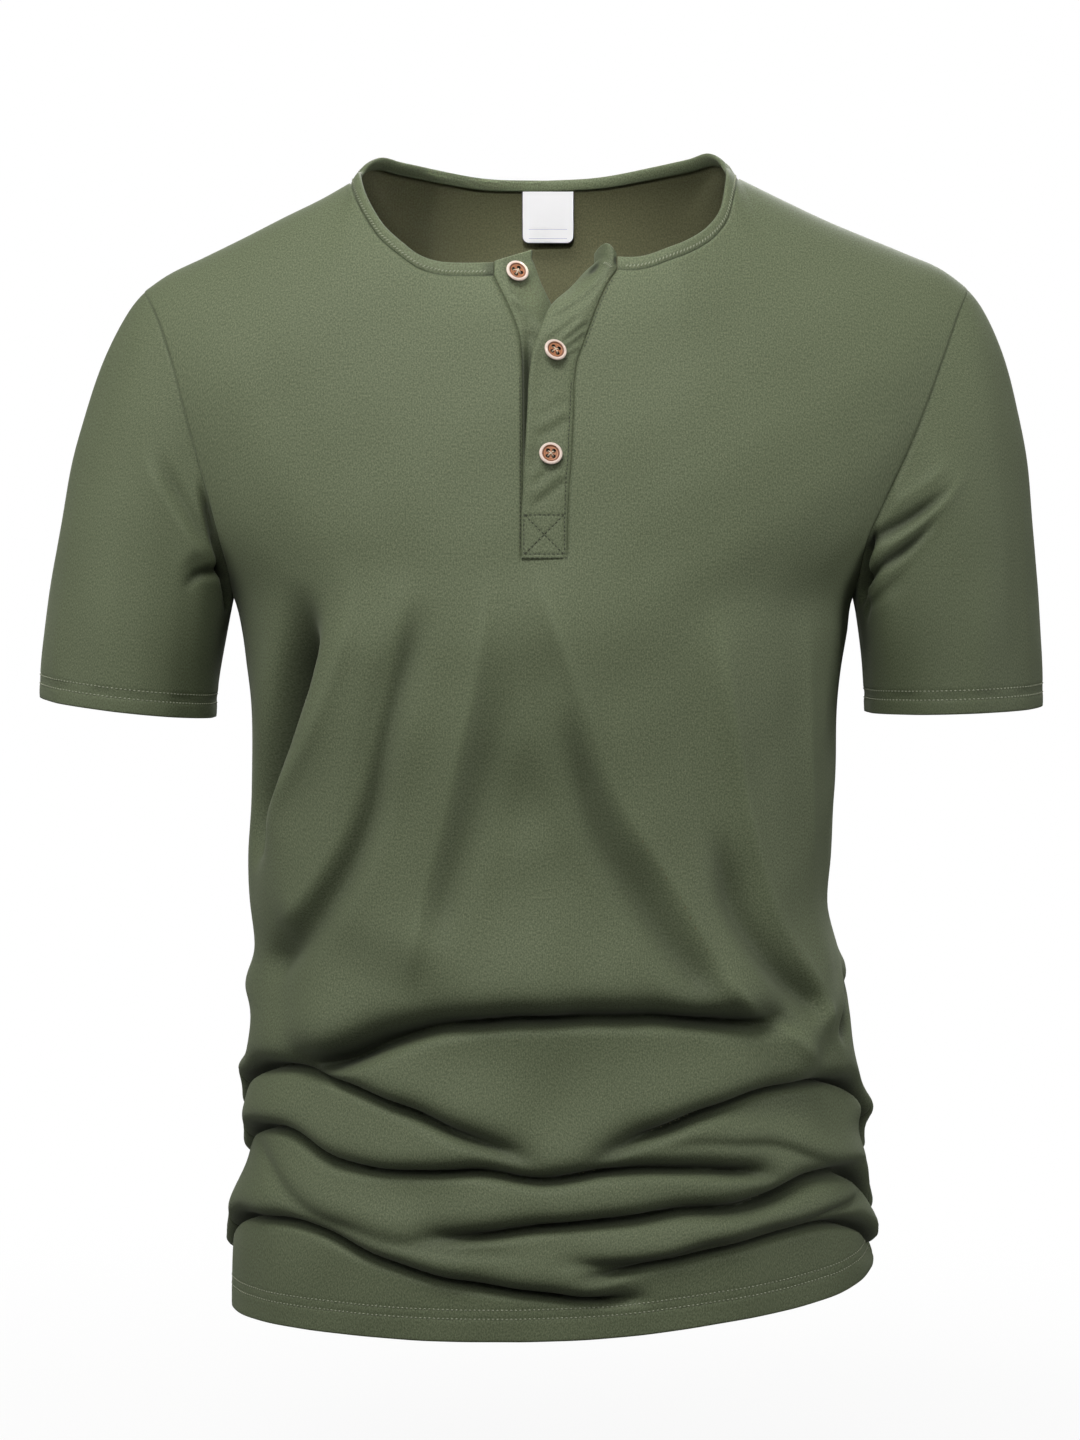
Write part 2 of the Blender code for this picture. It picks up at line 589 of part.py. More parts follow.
def panel(face, columns, bunch_rows):
    """Grid of the whole front or back panel from the hem up, and the slot's row and columns."""
    levels = np.concatenate([
        np.linspace(HEM, BUNCH_TOP, bunch_rows + 1)[:-1],
        np.linspace(BUNCH_TOP, UNDERARM, WAIST_ROWS + 1)[:-1],
    ])
    slot = (SLOT_BOTTOM - UNDERARM) / (NECK_FRONT_RIGHT[0].z - UNDERARM)
    fractions = chest_fractions(slot)
    halves = []
    for side in (-1, 1):
        chest, around = half_chest(face, side, columns, fractions)
        lower = lower_half(face, side, around, levels)
        halves.append(np.concatenate([lower, chest]))
    right = halves[0][:, ::-1]
    left = halves[1] if face < 0 else halves[1][:, 1:]
    flat = np.concatenate([right, left], axis=1)
    points = place_on_form(flat[..., 0], flat[..., 1], face)
    points[..., 1] += face * SEAM_GAP / 2
    return points, len(levels)


def normals(grid, closed=False):
    """Outward normals of a grid of points: rows run up and columns to the wearer's left."""
    wide = np.concatenate([grid, grid[:, :1]], axis=1) if closed else grid
    cell = np.cross(wide[1:, 1:] - wide[:-1, :-1], wide[1:, :-1] - wide[:-1, 1:])
    out = np.zeros_like(wide)
    for row in (0, 1):
        for col in (0, 1):
            out[row:row + len(cell), col:col + cell.shape[1]] += cell
    if closed:
        out[:, 0] += out[:, -1]
        out = out[:, :-1]
    return out / np.linalg.norm(out, axis=-1, keepdims=True)


def split(points, a, b, c, d):
    """The two triangles of a face with four corners, cut along its shorter diagonal."""
    if np.linalg.norm(points[a] - points[c]) <= np.linalg.norm(points[b] - points[d]):
        return [(a, b, c), (a, c, d)]
    return [(a, b, d), (b, c, d)]


def build_object(name, points, faces, finish):
    """A mesh object of these points and faces, with its finish; loose points are left out."""
    mesh = bpy.data.meshes.new(name)
    build = bmesh.new()
    verts = [build.verts.new(point * MM) for point in points]
    for face in faces:
        build.faces.new([verts[i] for i in face])
    loose = [vert for vert in build.verts if not vert.link_faces]
    bmesh.ops.delete(build, geom=loose, context="VERTS")
    build.to_mesh(mesh)
    build.free()
    mesh.materials.append(material(finish))
    obj = bpy.data.objects.new(name, mesh)
    bpy.context.scene.collection.objects.link(obj)
    return obj


def shell(name, outer, inner, finish, closed=False, missing=()):
    """A closed wall between two grids of points; missing cells leave a slot."""
    rows, columns = outer.shape[:2]
    count = rows * columns
    points = np.concatenate([outer.reshape(-1, 3), inner.reshape(-1, 3)])
    outside = []
    for row in range(rows - 1):
        for col in range(columns if closed else columns - 1):
            if (row, col) in missing:
                continue
            after = (col + 1) % columns
            corners = (row, col), (row, after), (row + 1, after), (row + 1, col)
            outside += split(points, *(r * columns + k for r, k in corners))
    edges = {(start, end) for a, b, c in outside for start, end in ((a, b), (b, c), (c, a))}
    inside = [(c + count, b + count, a + count) for a, b, c in outside]
    rims = []
    for a, b in sorted(edges):
        if (b, a) not in edges:
            rims += split(points, b, a, a + count, b + count)
    return build_object(name, points, outside + inside + rims, finish)


def keep_side(points, face):
    """Keeps a panel's points on its own side of the seams at the sides and shoulders."""
    held = points.copy()
    if face < 0:
        held[..., 1] = np.minimum(held[..., 1], -SEAM_GAP / 2)
    else:
        held[..., 1] = np.maximum(held[..., 1], SEAM_GAP / 2)
    return held


def wall(points, thickness, face=None, closed=False):
    """The inner side of a wall whose outer side is this grid."""
    inner = points - thickness * normals(points, closed)
    return inner if face is None else keep_side(inner, face)


def make_front():
    """The front panel with its slot; returns its outer and inner points and its underarm row."""
    points, chest = panel(-1, FRONT_COLUMNS, BUNCH_ROWS)
    points = keep_side(points, -1)
    missing = {(row, FRONT_COLUMNS) for row in range(chest + SLOT_ROWS, len(points) - 1)}
    inner = wall(points, WALL, -1)
    shell("front", points, inner, JERSEY, missing=missing)
    return points, inner, chest


def make_back():
    """The back panel; returns its outer and inner points."""
    points, _ = panel(1, BACK_COLUMNS, BACK_BUNCH_ROWS)
    points = keep_side(points, 1)
    turned = points[:, ::-1]
    inner = wall(turned, WALL, 1)
    shell("back", turned, inner, JERSEY)
    return points, inner[:, ::-1]


def armhole_ring(front, back, side):
    """The armhole seam as a closed ring, from the shoulder down the front and up the back."""
    edge = 0 if side < 0 else -1
    rows = CHEST_ROWS + SLOT_ROWS + 1
    down = front[-rows:, edge][::-1]
    up = back[-rows:, edge]
    top = (down[0] + up[-1]) / 2
    bottom = (down[-1] + up[0]) / 2
    return np.concatenate([[top], down[1:-1], [bottom], up[1:-1]])


def sleeve_grid(ring, side, cuff, folds):
    """Grid of a sleeve from its armhole, in the first row, to its cuff."""
    count = len(ring)
    turn = np.linspace(0, 2 * math.pi, count, endpoint=False)
    steps = np.linalg.norm(ring - np.roll(ring, 1, axis=0), axis=1)
    run = np.cumsum(steps) - steps[0]
    turn = (turn + 2 * math.pi * run / steps.sum()) / 2
    at_top = np.clip(np.cos(turn), 0, 1)[:, None]
    at_bottom = np.clip(-np.cos(turn), 0, 1)[:, None]
    at_side = 1 - at_top - at_bottom

    def mix(name):
        pulls = (getattr(pull, name) for pull in (PULL_SHOULDER, PULL_SIDE, PULL_UNDERARM))
        return sum(share * value for share, value in zip((at_top, at_side, at_bottom), pulls))

    leave = np.concatenate([side * mix("outward"), np.zeros((count, 1)), -mix("down")], axis=1)
    reach = mix("reach")
    leave = leave / np.linalg.norm(leave, axis=1, keepdims=True)
    start = ring + leave * ARMHOLE_GAP + np.array([side * SEAM_GAP / 2, 0, 0])
    end = np.stack([
        cuff.x + side * cuff.half_width * np.cos(turn),
        -cuff.half_depth * np.sin(turn),
        cuff.z + cuff.drop / 2 * np.cos(turn),
    ], axis=-1)
    enter = np.array([side * CUFF_LEAN, 0, -1.0])
    rows = []
    for t in np.linspace(0, 1, SLEEVE_ROWS + 1):
        rows.append(
            (2 * t**3 - 3 * t**2 + 1) * start + (t**3 - 2 * t**2 + t) * leave * reach
            + (3 * t**2 - 2 * t**3) * end + (t**3 - t**2) * enter * reach
        )
    grid = np.array(rows)
    down = np.cumsum(np.linalg.norm(np.diff(grid, axis=0, prepend=grid[:1]), axis=-1), axis=0)
    around = np.where(turn > math.pi, 1, -1) * steps.sum() / 2 * (1 - np.abs(turn / math.pi - 1))
    relief, _ = fold_relief(np.broadcast_to(around, down.shape), down, folds, steps.sum())
    relief = relief * ease(down / FOLD_START)
    from_underarm = np.abs(turn / math.pi - 1)
    relief = np.where(relief > 0, relief * ease(from_underarm / UNDERARM_SHARE - 1), relief)
    flipped = grid[:, ::-1] if side > 0 else grid
    out = -normals(flipped, closed=True)
    out = out[:, ::-1] if side > 0 else out
    return grid + relief[..., None] * out


def make_sleeve(name, ring, inner_ring, side, cuff, folds):
    """A sleeve; its rim follows the armhole's where that leans towards it."""
    grid = sleeve_grid(ring, side, cuff, folds)
    turned, rim = grid[::-1], inner_ring - ring
    if side > 0:
        turned, rim = turned[:, ::-1], rim[::-1]
    inner = wall(turned, WALL, closed=True)
    leave = turned[-2] - turned[-1]
    lean = (rim * leave).sum(axis=1, keepdims=True) / np.linalg.norm(leave, axis=1, keepdims=True)
    inner[-1] += ease(lean / RIM_LEAN) * (turned[-1] + rim - inner[-1])
    shell(name, turned, inner, JERSEY, closed=True)


def neck_ring(front, back, row):
    """A row of the panels at the neck, from the slot's right edge round the back to its left."""
    neck_front = round(FRONT_COLUMNS * NECK_SHARE)
    neck_back = round(BACK_COLUMNS * NECK_SHARE)
    right = front[row, FRONT_COLUMNS - neck_front:FRONT_COLUMNS + 1][::-1]
    left = front[row, FRONT_COLUMNS + 1:FRONT_COLUMNS + 2 + neck_front][::-1]
    behind = back[row, BACK_COLUMNS - neck_back:BACK_COLUMNS + neck_back + 1]
    corners = (right[-1] + behind[0]) / 2, (behind[-1] + left[0]) / 2
    return np.concatenate([right[:-1], corners[:1], behind[1:-1], corners[1:], left[1:]])


def band_frame(ring):
    """For each point of the neck seam: the band's own upward direction and its height."""
    run = np.concatenate([[0], np.cumsum(np.linalg.norm(np.diff(ring, axis=0), axis=1))])
    part = run / run[-1]
    along = np.gradient(ring, axis=0)
    inward = np.stack([along[:, 1], -along[:, 0], np.zeros(len(ring))], axis=-1)
    inward /= np.linalg.norm(inward, axis=1, keepdims=True)
    rise = inward * column(BAND, "inward", part, "part")[:, None]
    rise[:, 2] += column(BAND, "up", part, "part")
    rise /= np.linalg.norm(rise, axis=1, keepdims=True)
    return rise, column(BAND, "height", part, "part")[:, None]


def tube(name, sections, finish):
    """A closed solid through closed sections of points, capped at both ends."""
    count, corners = sections.shape[:2]
    points = sections.reshape(-1, 3)
    faces = []
    for row in range(count - 1):
        for k in range(corners):
            near, far = row * corners + k, row * corners + (k + 1) % corners
            faces += split(points, near, far, far + corners, near + corners)
    last = (count - 1) * corners
    for k in range(1, corners - 1):
        faces += [(0, k + 1, k), (last, last + k, last + k + 1)]
    return build_object(name, points, faces, finish)


def make_neckband(front, back):
    """The folded band round the neck; returns its top edge and its foot behind the neck."""
    (front_outer, front_inner), (back_outer, back_inner) = front, back
    outer = neck_ring(front_outer, back_outer, -1)
    inner = neck_ring(front_inner, back_inner, -1)
    rise, height = band_frame(outer)
    along = np.gradient(outer, axis=0)
    inward = np.cross(along, rise)
    inward /= np.linalg.norm(inward, axis=1, keepdims=True)
    beyond = np.cross(along, outer - inner)
    beyond *= np.sign((beyond * rise).sum(axis=1, keepdims=True))
    seam = beyond / np.linalg.norm(beyond, axis=1, keepdims=True) * BAND_GAP
    section = [outer + seam, outer + rise * (height - BAND_ROUND)]
    section += [outer + rise * height + inward * BAND_WALL * share for share in BAND_CROWN]
    section.append(outer + rise * (height - BAND_ROUND) + inward * BAND_WALL)
    section.append(outer + (inner - outer) * BAND_WALL / WALL + seam)
    tube("neckband", np.stack(section, axis=1), BAND_JERSEY)
    return outer + rise * height, section[-1][len(outer) // 2]


def strip_grid(seam, side, table, columns):
    """Grid of a placket strip from its seam edge to its free edge."""
    z = seam[:, 2]
    share = np.linspace(0, 1, columns + 1)[None, :]
    across, back, up, bow, peak, lift = (
        column(table, name, z, "z")[:, None] for name in ("across", "back", "up", "bow", "peak", "lift")
    )
    middle = 4 * share * (1 - share)
    x = seam[:, :1] + side * SEAM_GAP + across * share
    y = seam[:, 1:2] + back * share**STRIP_TURN - bow * middle - lift
    z = seam[:, 2:] + up * share + peak * middle
    return np.stack([x, y, z], axis=-1)


def make_plackets(front, band_top):
    """Both placket strips, each sewn to its edge of the slot and topped at the band's top."""
    panel_points, chest = front
    rows = slice(chest + SLOT_ROWS, None)
    grids = {}
    plan = (
        ("placket_under", FRONT_COLUMNS, 1, PLACKET_UNDER, band_top[0]),
        ("placket_over", FRONT_COLUMNS + 1, -1, PLACKET_OVER, band_top[-1]),
    )
    for name, edge, side, table, top in plan:
        seam = panel_points[rows, edge]
        halfway = (seam[-1] + top) / 2
        seam = np.concatenate([seam, [halfway, top]])
        step = panel_points[chest + SLOT_ROWS - 1, edge] - seam[0]
        foot = PLACKET_FOOT if name == "placket_over" else -3 * SEAM_GAP
        seam[0] += step / np.linalg.norm(step) * foot
        grid = strip_grid(seam, side, table, STRIP_COLUMNS)
        grids[name] = grid
        turned = grid if side > 0 else grid[:, ::-1]
        shell(name, turned, wall(turned, PLACKET_WALL), PLACKET_JERSEY)
    return grids


def make_label(band_foot):
    """A satin label hanging inside the back from the foot of the neckband."""
    top = Vector(band_foot) - Vector((0, LABEL_FORWARD, SEAM_GAP))
    across = LABEL_WIDTH * np.linspace(-0.5, 0.5, LABEL_COLUMNS + 1)
    down = LABEL_HEIGHT * np.linspace(1, 0, LABEL_ROWS + 1)[:, None]
    from_corner = np.clip(LABEL_CORNER - (LABEL_WIDTH / 2 - np.abs(across)), 0, LABEL_CORNER)
    cut = LABEL_CORNER - np.sqrt(LABEL_CORNER**2 - from_corner**2)
    shorter = np.minimum(down, LABEL_HEIGHT - cut)
    x = LABEL_X + across + np.zeros_like(down)
    y = top.y + LABEL_LEAN * shorter
    face = np.stack([x, y, top.z - shorter], axis=-1)
    shell("neck_label", face, face + np.array([0, LABEL_WALL, 0]), SATIN)


def lathe(name, profile, sides, finish):
    """A closed round solid from a profile of (radius, height), first and last on its axis."""
    turns = np.arange(sides) * 2 * math.pi / sides
    circle = np.stack([np.cos(turns), np.sin(turns), np.zeros(sides)], axis=-1)
    rings = [circle * radius + (0, 0, height) for radius, height in profile[1:-1]]
    ends = np.array([[0, 0, profile[0][1]], [0, 0, profile[-1][1]]])
    points = np.concatenate([*rings, ends])
    foot, head = len(points) - 2, len(points) - 1
    top = foot - sides
    faces = []
    for k in range(sides):
        after = (k + 1) % sides
        faces += [(foot, after, k), (head, top + k, top + after)]
        for low in range(0, top, sides):
            faces.append((low + k, low + after, low + sides + after, low + sides + k))
    return build_object(name, points, faces, finish)


def make_buttons(strips):
    """The buttons, each flat against its placket strip, its face outwards."""
    radius = BUTTON_DIAMETER / 2
    profile = [(turn.radius * radius, turn.height * BUTTON_THICKNESS) for turn in BUTTON_PROFILE]
    for row in BUTTONS:
        grid = strips["placket_" + row.strip]
        heights = grid[:, 0, 2]
        at = np.interp(row.z, heights, np.arange(len(heights)))
        low = min(int(at), len(heights) - 2)
        part = at - low
        line = grid[low] * (1 - part) + grid[low + 1] * part
        place = row.across * STRIP_COLUMNS
        left = min(int(place), STRIP_COLUMNS - 1)
        centre = line[left] * (1 - place + left) + line[left + 1] * (place - left)
        across = Vector(grid[low, left + 1] - grid[low, left])
        up = Vector(grid[low + 1, left] - grid[low, left])
        out = across.cross(up).normalized()
        if out.y > 0:
            out = -out
        right = up.cross(out).normalized()
        turn = Matrix((right, out.cross(right), out)).transposed()
        obj = lathe(row.name, profile, BUTTON_SIDES, WOOD)
        obj.location = (Vector(centre) + out * BUTTON_LIFT) * MM
        obj.rotation_euler = turn.to_euler()
        drill(obj)


def drill(button):
    """Cuts the four thread holes through a button."""
    mesh = bpy.data.meshes.new(button.name + "_holes")
    build = bmesh.new()
    for across in (-0.5, 0.5):
        for up in (-0.5, 0.5):
            middle = Vector((across, up, 0.5 * BUTTON_THICKNESS / BUTTON_HOLE_PITCH))
            bmesh.ops.create_cone(
                build, cap_ends=True, segments=BUTTON_HOLE_SIDES, radius1=BUTTON_HOLE_DIAMETER / 2 * MM,
                radius2=BUTTON_HOLE_DIAMETER / 2 * MM, depth=2 * BUTTON_THICKNESS * MM,
                matrix=Matrix.Translation(middle * BUTTON_HOLE_PITCH * MM),
            )
    build.to_mesh(mesh)
    build.free()
    cutter = bpy.data.objects.new(button.name + "_holes", mesh)
    bpy.context.scene.collection.objects.link(cutter)
    cutter.location = button.location
    cutter.rotation_euler = button.rotation_euler
    cutter.hide_render = True
    cut = button.modifiers.new("holes", "BOOLEAN")
    cut.object = cutter
    cut.operation = "DIFFERENCE"


def main():
    clear_scene()
    front, front_inner, chest = make_front()
    back, back_inner = make_back()
    for side, name, cuff, folds in (
        (-1, "sleeve_right", CUFF_RIGHT, SLEEVE_FOLDS_RIGHT),
        (1, "sleeve_left", CUFF_LEFT, SLEEVE_FOLDS_LEFT),
    ):
        ring = armhole_ring(front, back, side)
        make_sleeve(name, ring, armhole_ring(front_inner, back_inner, side), side, cuff, folds)
    band_top, band_foot = make_neckband((front, front_inner), (back, back_inner))
    strips = make_plackets((front, chest), band_top)
    make_label(band_foot)
    make_buttons(strips)


main()
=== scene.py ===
"""Henley shirt with short sleeves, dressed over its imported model.

Sizes are millimetres until a mesh is built. +Z is up, the front faces -Y and +X is the
wearer's left. "Around" is the distance along a section of the body from the middle of its
front, negative towards the wearer's right.
"""

import logging
import math
from dataclasses import dataclass, field
from enum import Enum
from typing import Callable, Iterable, NamedTuple, Optional, Sequence

import bmesh
import bpy
import numpy as np
from bpy.types import Material, Mesh, Node, NodeSocket, Object
from mathutils import Matrix, Vector


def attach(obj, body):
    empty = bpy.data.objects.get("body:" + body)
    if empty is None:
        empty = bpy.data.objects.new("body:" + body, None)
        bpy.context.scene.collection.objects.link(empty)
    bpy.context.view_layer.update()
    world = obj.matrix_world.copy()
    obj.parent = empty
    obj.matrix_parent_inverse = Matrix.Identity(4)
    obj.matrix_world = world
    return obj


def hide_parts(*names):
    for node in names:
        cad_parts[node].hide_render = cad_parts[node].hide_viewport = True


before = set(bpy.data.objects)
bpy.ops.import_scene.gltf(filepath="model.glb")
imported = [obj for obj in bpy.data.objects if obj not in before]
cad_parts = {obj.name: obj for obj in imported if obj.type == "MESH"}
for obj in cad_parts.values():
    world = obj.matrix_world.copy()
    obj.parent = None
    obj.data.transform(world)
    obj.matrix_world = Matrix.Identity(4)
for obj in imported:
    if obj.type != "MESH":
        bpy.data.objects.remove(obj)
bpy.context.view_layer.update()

LOG = logging.getLogger("henley")
MM = 0.001
BODY = "root"
Array = np.ndarray


class Side(Enum):
    """A side of the wearer, by the sign of its x."""

    RIGHT = -1
    LEFT = 1


class Face(Enum):
    """The front or the back of the shirt, by the sign of its y."""

    FRONT = -1
    BACK = 1


class Fold(NamedTuple):
    """A fold: its line, ridge, crease, reaches, fades, sag, and whether its crest is crisp."""

    name: str
    line: tuple
    ridge: float
    crease: float
    gentle: float
    steep: float
    fade_in: float
    fade_out: float
    sag: float
    crisp: bool = False


def folds(text: str) -> tuple:
    """Folds from text: a name, starred if crisp, then ridge to sag, then around and z of the line's points."""
    return tuple(
        Fold(name.strip("*"), tuple(map(float, sizes[7:])), *map(float, sizes[:7]), "*" in name)
        for name, *sizes in map(str.split, text.split(";"))
    )


class Cuff(NamedTuple):
    """Middle, half sizes and drop of a sleeve's open end."""

    x: float
    z: float
    half_width: float
    half_depth: float
    drop: float


class ButtonPlace(NamedTuple):
    """Where a button sits on its strip, and how many degrees it leans up to the wearer's left."""

    name: str
    strip: str
    across: float
    z: float
    lean: float


def through(x: Array, known_x: Sequence, known_y: Sequence) -> Array:
    """A smooth curve through a table's points, flat beyond its ends.

    Args:
        x: where the curve is wanted.
        known_x: the table's rising keys.
        known_y: the value at each key.

    Returns:
        The curve's value at each x.
    """
    known_x = np.asarray(known_x, float)
    known_y = np.asarray(known_y, float)
    slope = np.gradient(known_y, known_x)
    x = np.clip(x, known_x[0], known_x[-1])
    i = np.clip(np.searchsorted(known_x, x) - 1, 0, len(known_x) - 2)
    span = known_x[i + 1] - known_x[i]
    t = (x - known_x[i]) / span
    rise = known_y[i] + (known_y[i + 1] - known_y[i]) * t * t * (3 - 2 * t)
    return rise + span * t * (1 - t) * ((1 - t) * slope[i] - t * slope[i + 1])


class Table:
    """Numbers under named columns, read as smooth curves over the first."""

    def __init__(self, text: str) -> None:
        """Reads a line of names and the rows of numbers under them."""
        names, rows = text.split("\n", 1)
        names = names.split()
        self.key = names[0]
        self.columns = dict(zip(names, np.reshape(rows.replace(",", " ").split(), (-1, len(names))).astype(float).T))

    def at(self, name: str, key: Array) -> Array:
        """The named column at each value of the first."""
        return through(key, self.columns[self.key], self.columns[name])


def pile(*parts: Array) -> Array:
    """Arrays side by side along a new last axis."""
    return np.stack(parts, axis=-1)


def cells(grid: Array) -> Array:
    """The four corners of each cell of a grid, in turn."""
    return np.stack([grid[:-1, :-1], grid[:-1, 1:], grid[1:, 1:], grid[1:, :-1]], axis=2)


# Each level: height, half widths to the wearer's right and left, depths forward and back.
LEVELS = Table("""z right left front back
    -650 180 184.5 122 104, -600 177.5 183 121 103, -560 168.5 176 120 100, -520 166.5 172 120 97,
    -496 161.5 168.5 119 95, -472 164 170 119 93, -446 164 166 118 90, -412 169 159.5 117 88,
    -385 169.3 162 116 88, -350 167.5 163.7 116 90, -310 167.6 164.8 117 94, -280 169.3 167.8 116 97,
    -260 171.5 171 116 99, -238 177.5 174.5 115 100, -200 204 206 110 101, -150 232 238 98 97,
    -90 258 264 77 88, -30 280 285 60 74, 30 295 300 52 62
""")

# The armhole seam: height, and how far out it lies to the wearer's right and left.
ARMHOLE = Table("""z right left
    -238 177.5 174.5, -221 179.5 175.8, -203 182.9 179, -186 187 187, -157 195.2 201, -129 203.1 213,
    -102 210.5 223, -80 219 231.5, -66 227.4 238.5
""")

# Top of the shoulders, and over the open neck the height at which front would meet back.
# "fall" is the height over which the cloth rounds over from front to top.
SHOULDER_RIGHT = Table("""x z fall
    -245 -78 80, -227.4 -66 80, -216 -58 82, -193 -46.7 85, -170 -35.5 88, -148 -24.3 90, -125 -13 93,
    -111 -5 94
""")
OVER_NECK = Table("""x z fall
    -111 -5 94, -107.5 5 94, -101 14.5 93, -85 21 90, -63 27 87, -38 30 82, 0 32 75, 38 30.5 82, 63 28.5 87,
    85 23 90, 99 18 93, 105.5 8 94, 109 -2.5 94
""")
SHOULDER_LEFT = Table("""x z fall
    109 -2.5 94, 135 -15.2 92, 158 -26 90, 181 -35.6 87, 203 -44.6 84, 226 -55 82, 238.5 -64.5 80, 255 -80 80
""")

# Neckline seams seen from the front, from the slot or the middle out to the shoulder.
NECKS = {
    (Face.FRONT, Side.RIGHT): (
        (-29.3, -60.4), (-46, -60.6), (-58.5, -60), (-69, -57), (-82.4, -47.9), (-93.2, -38.1), (-101.3, -25.9),
        (-106.8, -15.7), (-111, -5),
    ),
    (Face.FRONT, Side.LEFT): (
        (39.5, -57.2), (49.5, -57.4), (58, -55.6), (66, -52.5), (80.6, -46.8), (91.8, -39.8), (101, -28.5),
        (105, -16), (109, -2.5),
    ),
    (Face.BACK, Side.RIGHT): (
        (0, -4.8), (-38, -3.9), (-63, 0), (-85, 4), (-101, 5.9), (-107.5, 2), (-111, -5),
    ),
    (Face.BACK, Side.LEFT): (
        (0, -4.8), (31, -3.3), (66, 2.5), (85, 6), (99, 8.4), (105.5, 4.5), (109, -2.5),
    ),
}

# The slot for the placket, spread open at the top: height and both edges.
SLOT = Table("""z right left
    -240 -13.2 11.8, -192 -13.2 11.8, -163 -13.2 13.5, -133 -13.3 15.1, -119 -13.4 15.5, -108 -13.6 17,
    -97 -14.4 21, -84 -18.3 25.7, -74 -22.7 29.6, -63 -28.2 35.2, -56 -31.5 40.2
""")

# Bulges of the bunched cloth at the side seams: height, size, and reach down and up.
BULGES = {
    Side.RIGHT: ((-459, 7, 12, 16), (-501, 6, 14, 8), (-571, 0.5, 9, 8), (-604, 0.5, 16, 13)),
    Side.LEFT: ((-474, 3.2, 20, 26), (-526, 7.5, 10, 12), (-592, 1.6, 10, 9), (-617, 3, 10, 9)),
}

# The hem's height around the body, and the way to the middle of the back.
HEM_HALF_WAY = 470.0
HEM_LINE = Table("""around z
    -610 -625, -470 -634, -330 -636, -235 -642, -130 -642, -40 -643, 30 -641, 90 -635, 150 -628.5, 235 -619,
    330 -625, 470 -634, 610 -636
""")

# Folds: the ridge beside the crease, the crease itself, the reach of the ridge's gentle and
# steep sides, the lengths over which it dies away, how far the ridge sags over the crease,
# then around and z of points along the crease, or along the middle of a soft fold.
BUNCH_FOLDS = folds("""
    belly 10.5 6.2 36 11.5 44 50 4.2 -165 -491 -117 -482 -75 -471 -24 -464 27 -463 81 -464 150 -471;
    waist_right 8 4.4 22 7.5 14 60 3.5 -246 -538 -236 -528 -222 -512 -200 -502 -168 -496 -141 -498 -95 -509 -55
        -522 -24 -532 4 -540;
    waist_left 8.5 4.6 23 7.5 16 54 3.5 240 -566 233 -550 223 -532 210 -517 190 -508 156 -505 125 -506 81 -516
        42 -528 12 -539;
    hip_middle 7 4.2 18 7 14 40 3 -246 -566 -234 -554 -214 -541 -190 -534 -164 -531 -117 -546 -75 -549 -38 -547
        -4 -550 30 -545 81 -545 132 -548;
    hip_left 7.5 4.6 20 7 50 16 3 -79 -580 -35 -580 27 -574 73 -569 107 -566 150 -556 189 -559 216 -573 232
        -596;
    hem_right 8.5 4.8 20 7.5 16 48 3.5 -244 -622 -233 -605 -205 -588 -164 -581 -136 -582 -95 -595 -55 -606 -16
        -613 27 -618 58 -620;
    hem_left 7 4.4 16 7 38 10 3 11 -601 62 -598 107 -589 145 -584 182 -588 212 -599 232 -613;
    back_waist_left 8.5 4 26 8 50 60 3.5 236 -512 290 -497 350 -491 415 -500 470 -511;
    back_waist_right 7.5 4 22 7 50 55 3 -238 -500 -290 -512 -345 -520 -410 -519 -462 -508;
    back_belt 7 3 30 9 50 55 3 300 -462 350 -468 410 -470 470 -466 530 -461 600 -470;
    back_hip_left 7 4 20 7 45 55 3 236 -563 280 -551 330 -546 392 -553 450 -560;
    back_hip_right 7 4 20 7 45 55 3 -238 -556 -285 -549 -340 -554 -400 -562 -450 -561;
    back_hem_left 7.5 4 18 7 42 50 3 240 -605 285 -594 340 -589 400 -594 460 -603;
    back_hem_right 6.5 3.5 18 7 42 50 3 -240 -600 -290 -590 -345 -594 -395 -602
""")
BLADE_FOLDS = folds("""
    blade_right_hollow 0 5 17 17 50 60 0 -300 -225 -320 -285 -350 -345 -395 -400;
    blade_left_hollow 0 5 17 17 50 60 0 300 -225 325 -290 345 -350 385 -410;
    blade_right_roll 4 0 18 18 50 60 0 -330 -230 -352 -290 -390 -350 -430 -390;
    blade_left_roll 4 0 18 18 50 60 0 335 -235 358 -300 385 -360 428 -405
""")

# Sleeves: the cuff's middle, half width, half depth and drop from its outer to its inner end.
CUFF_RIGHT = Cuff(-237.8, -301.5, 50.0, 66.0, 11.5)
CUFF_LEFT = Cuff(232.0, -302.5, 50.5, 66.0, 3.5)

# The way the cloth leaves the armhole at the shoulder, side and underarm: outward, down and
# how far that reaches. It enters the cuff with a slight lean.
PULLS = ((0.72, 0.69, 160.0), (0.75, 0.66, 130.0), (0.26, 0.97, 50.0))
CUFF_LEAN = 0.03

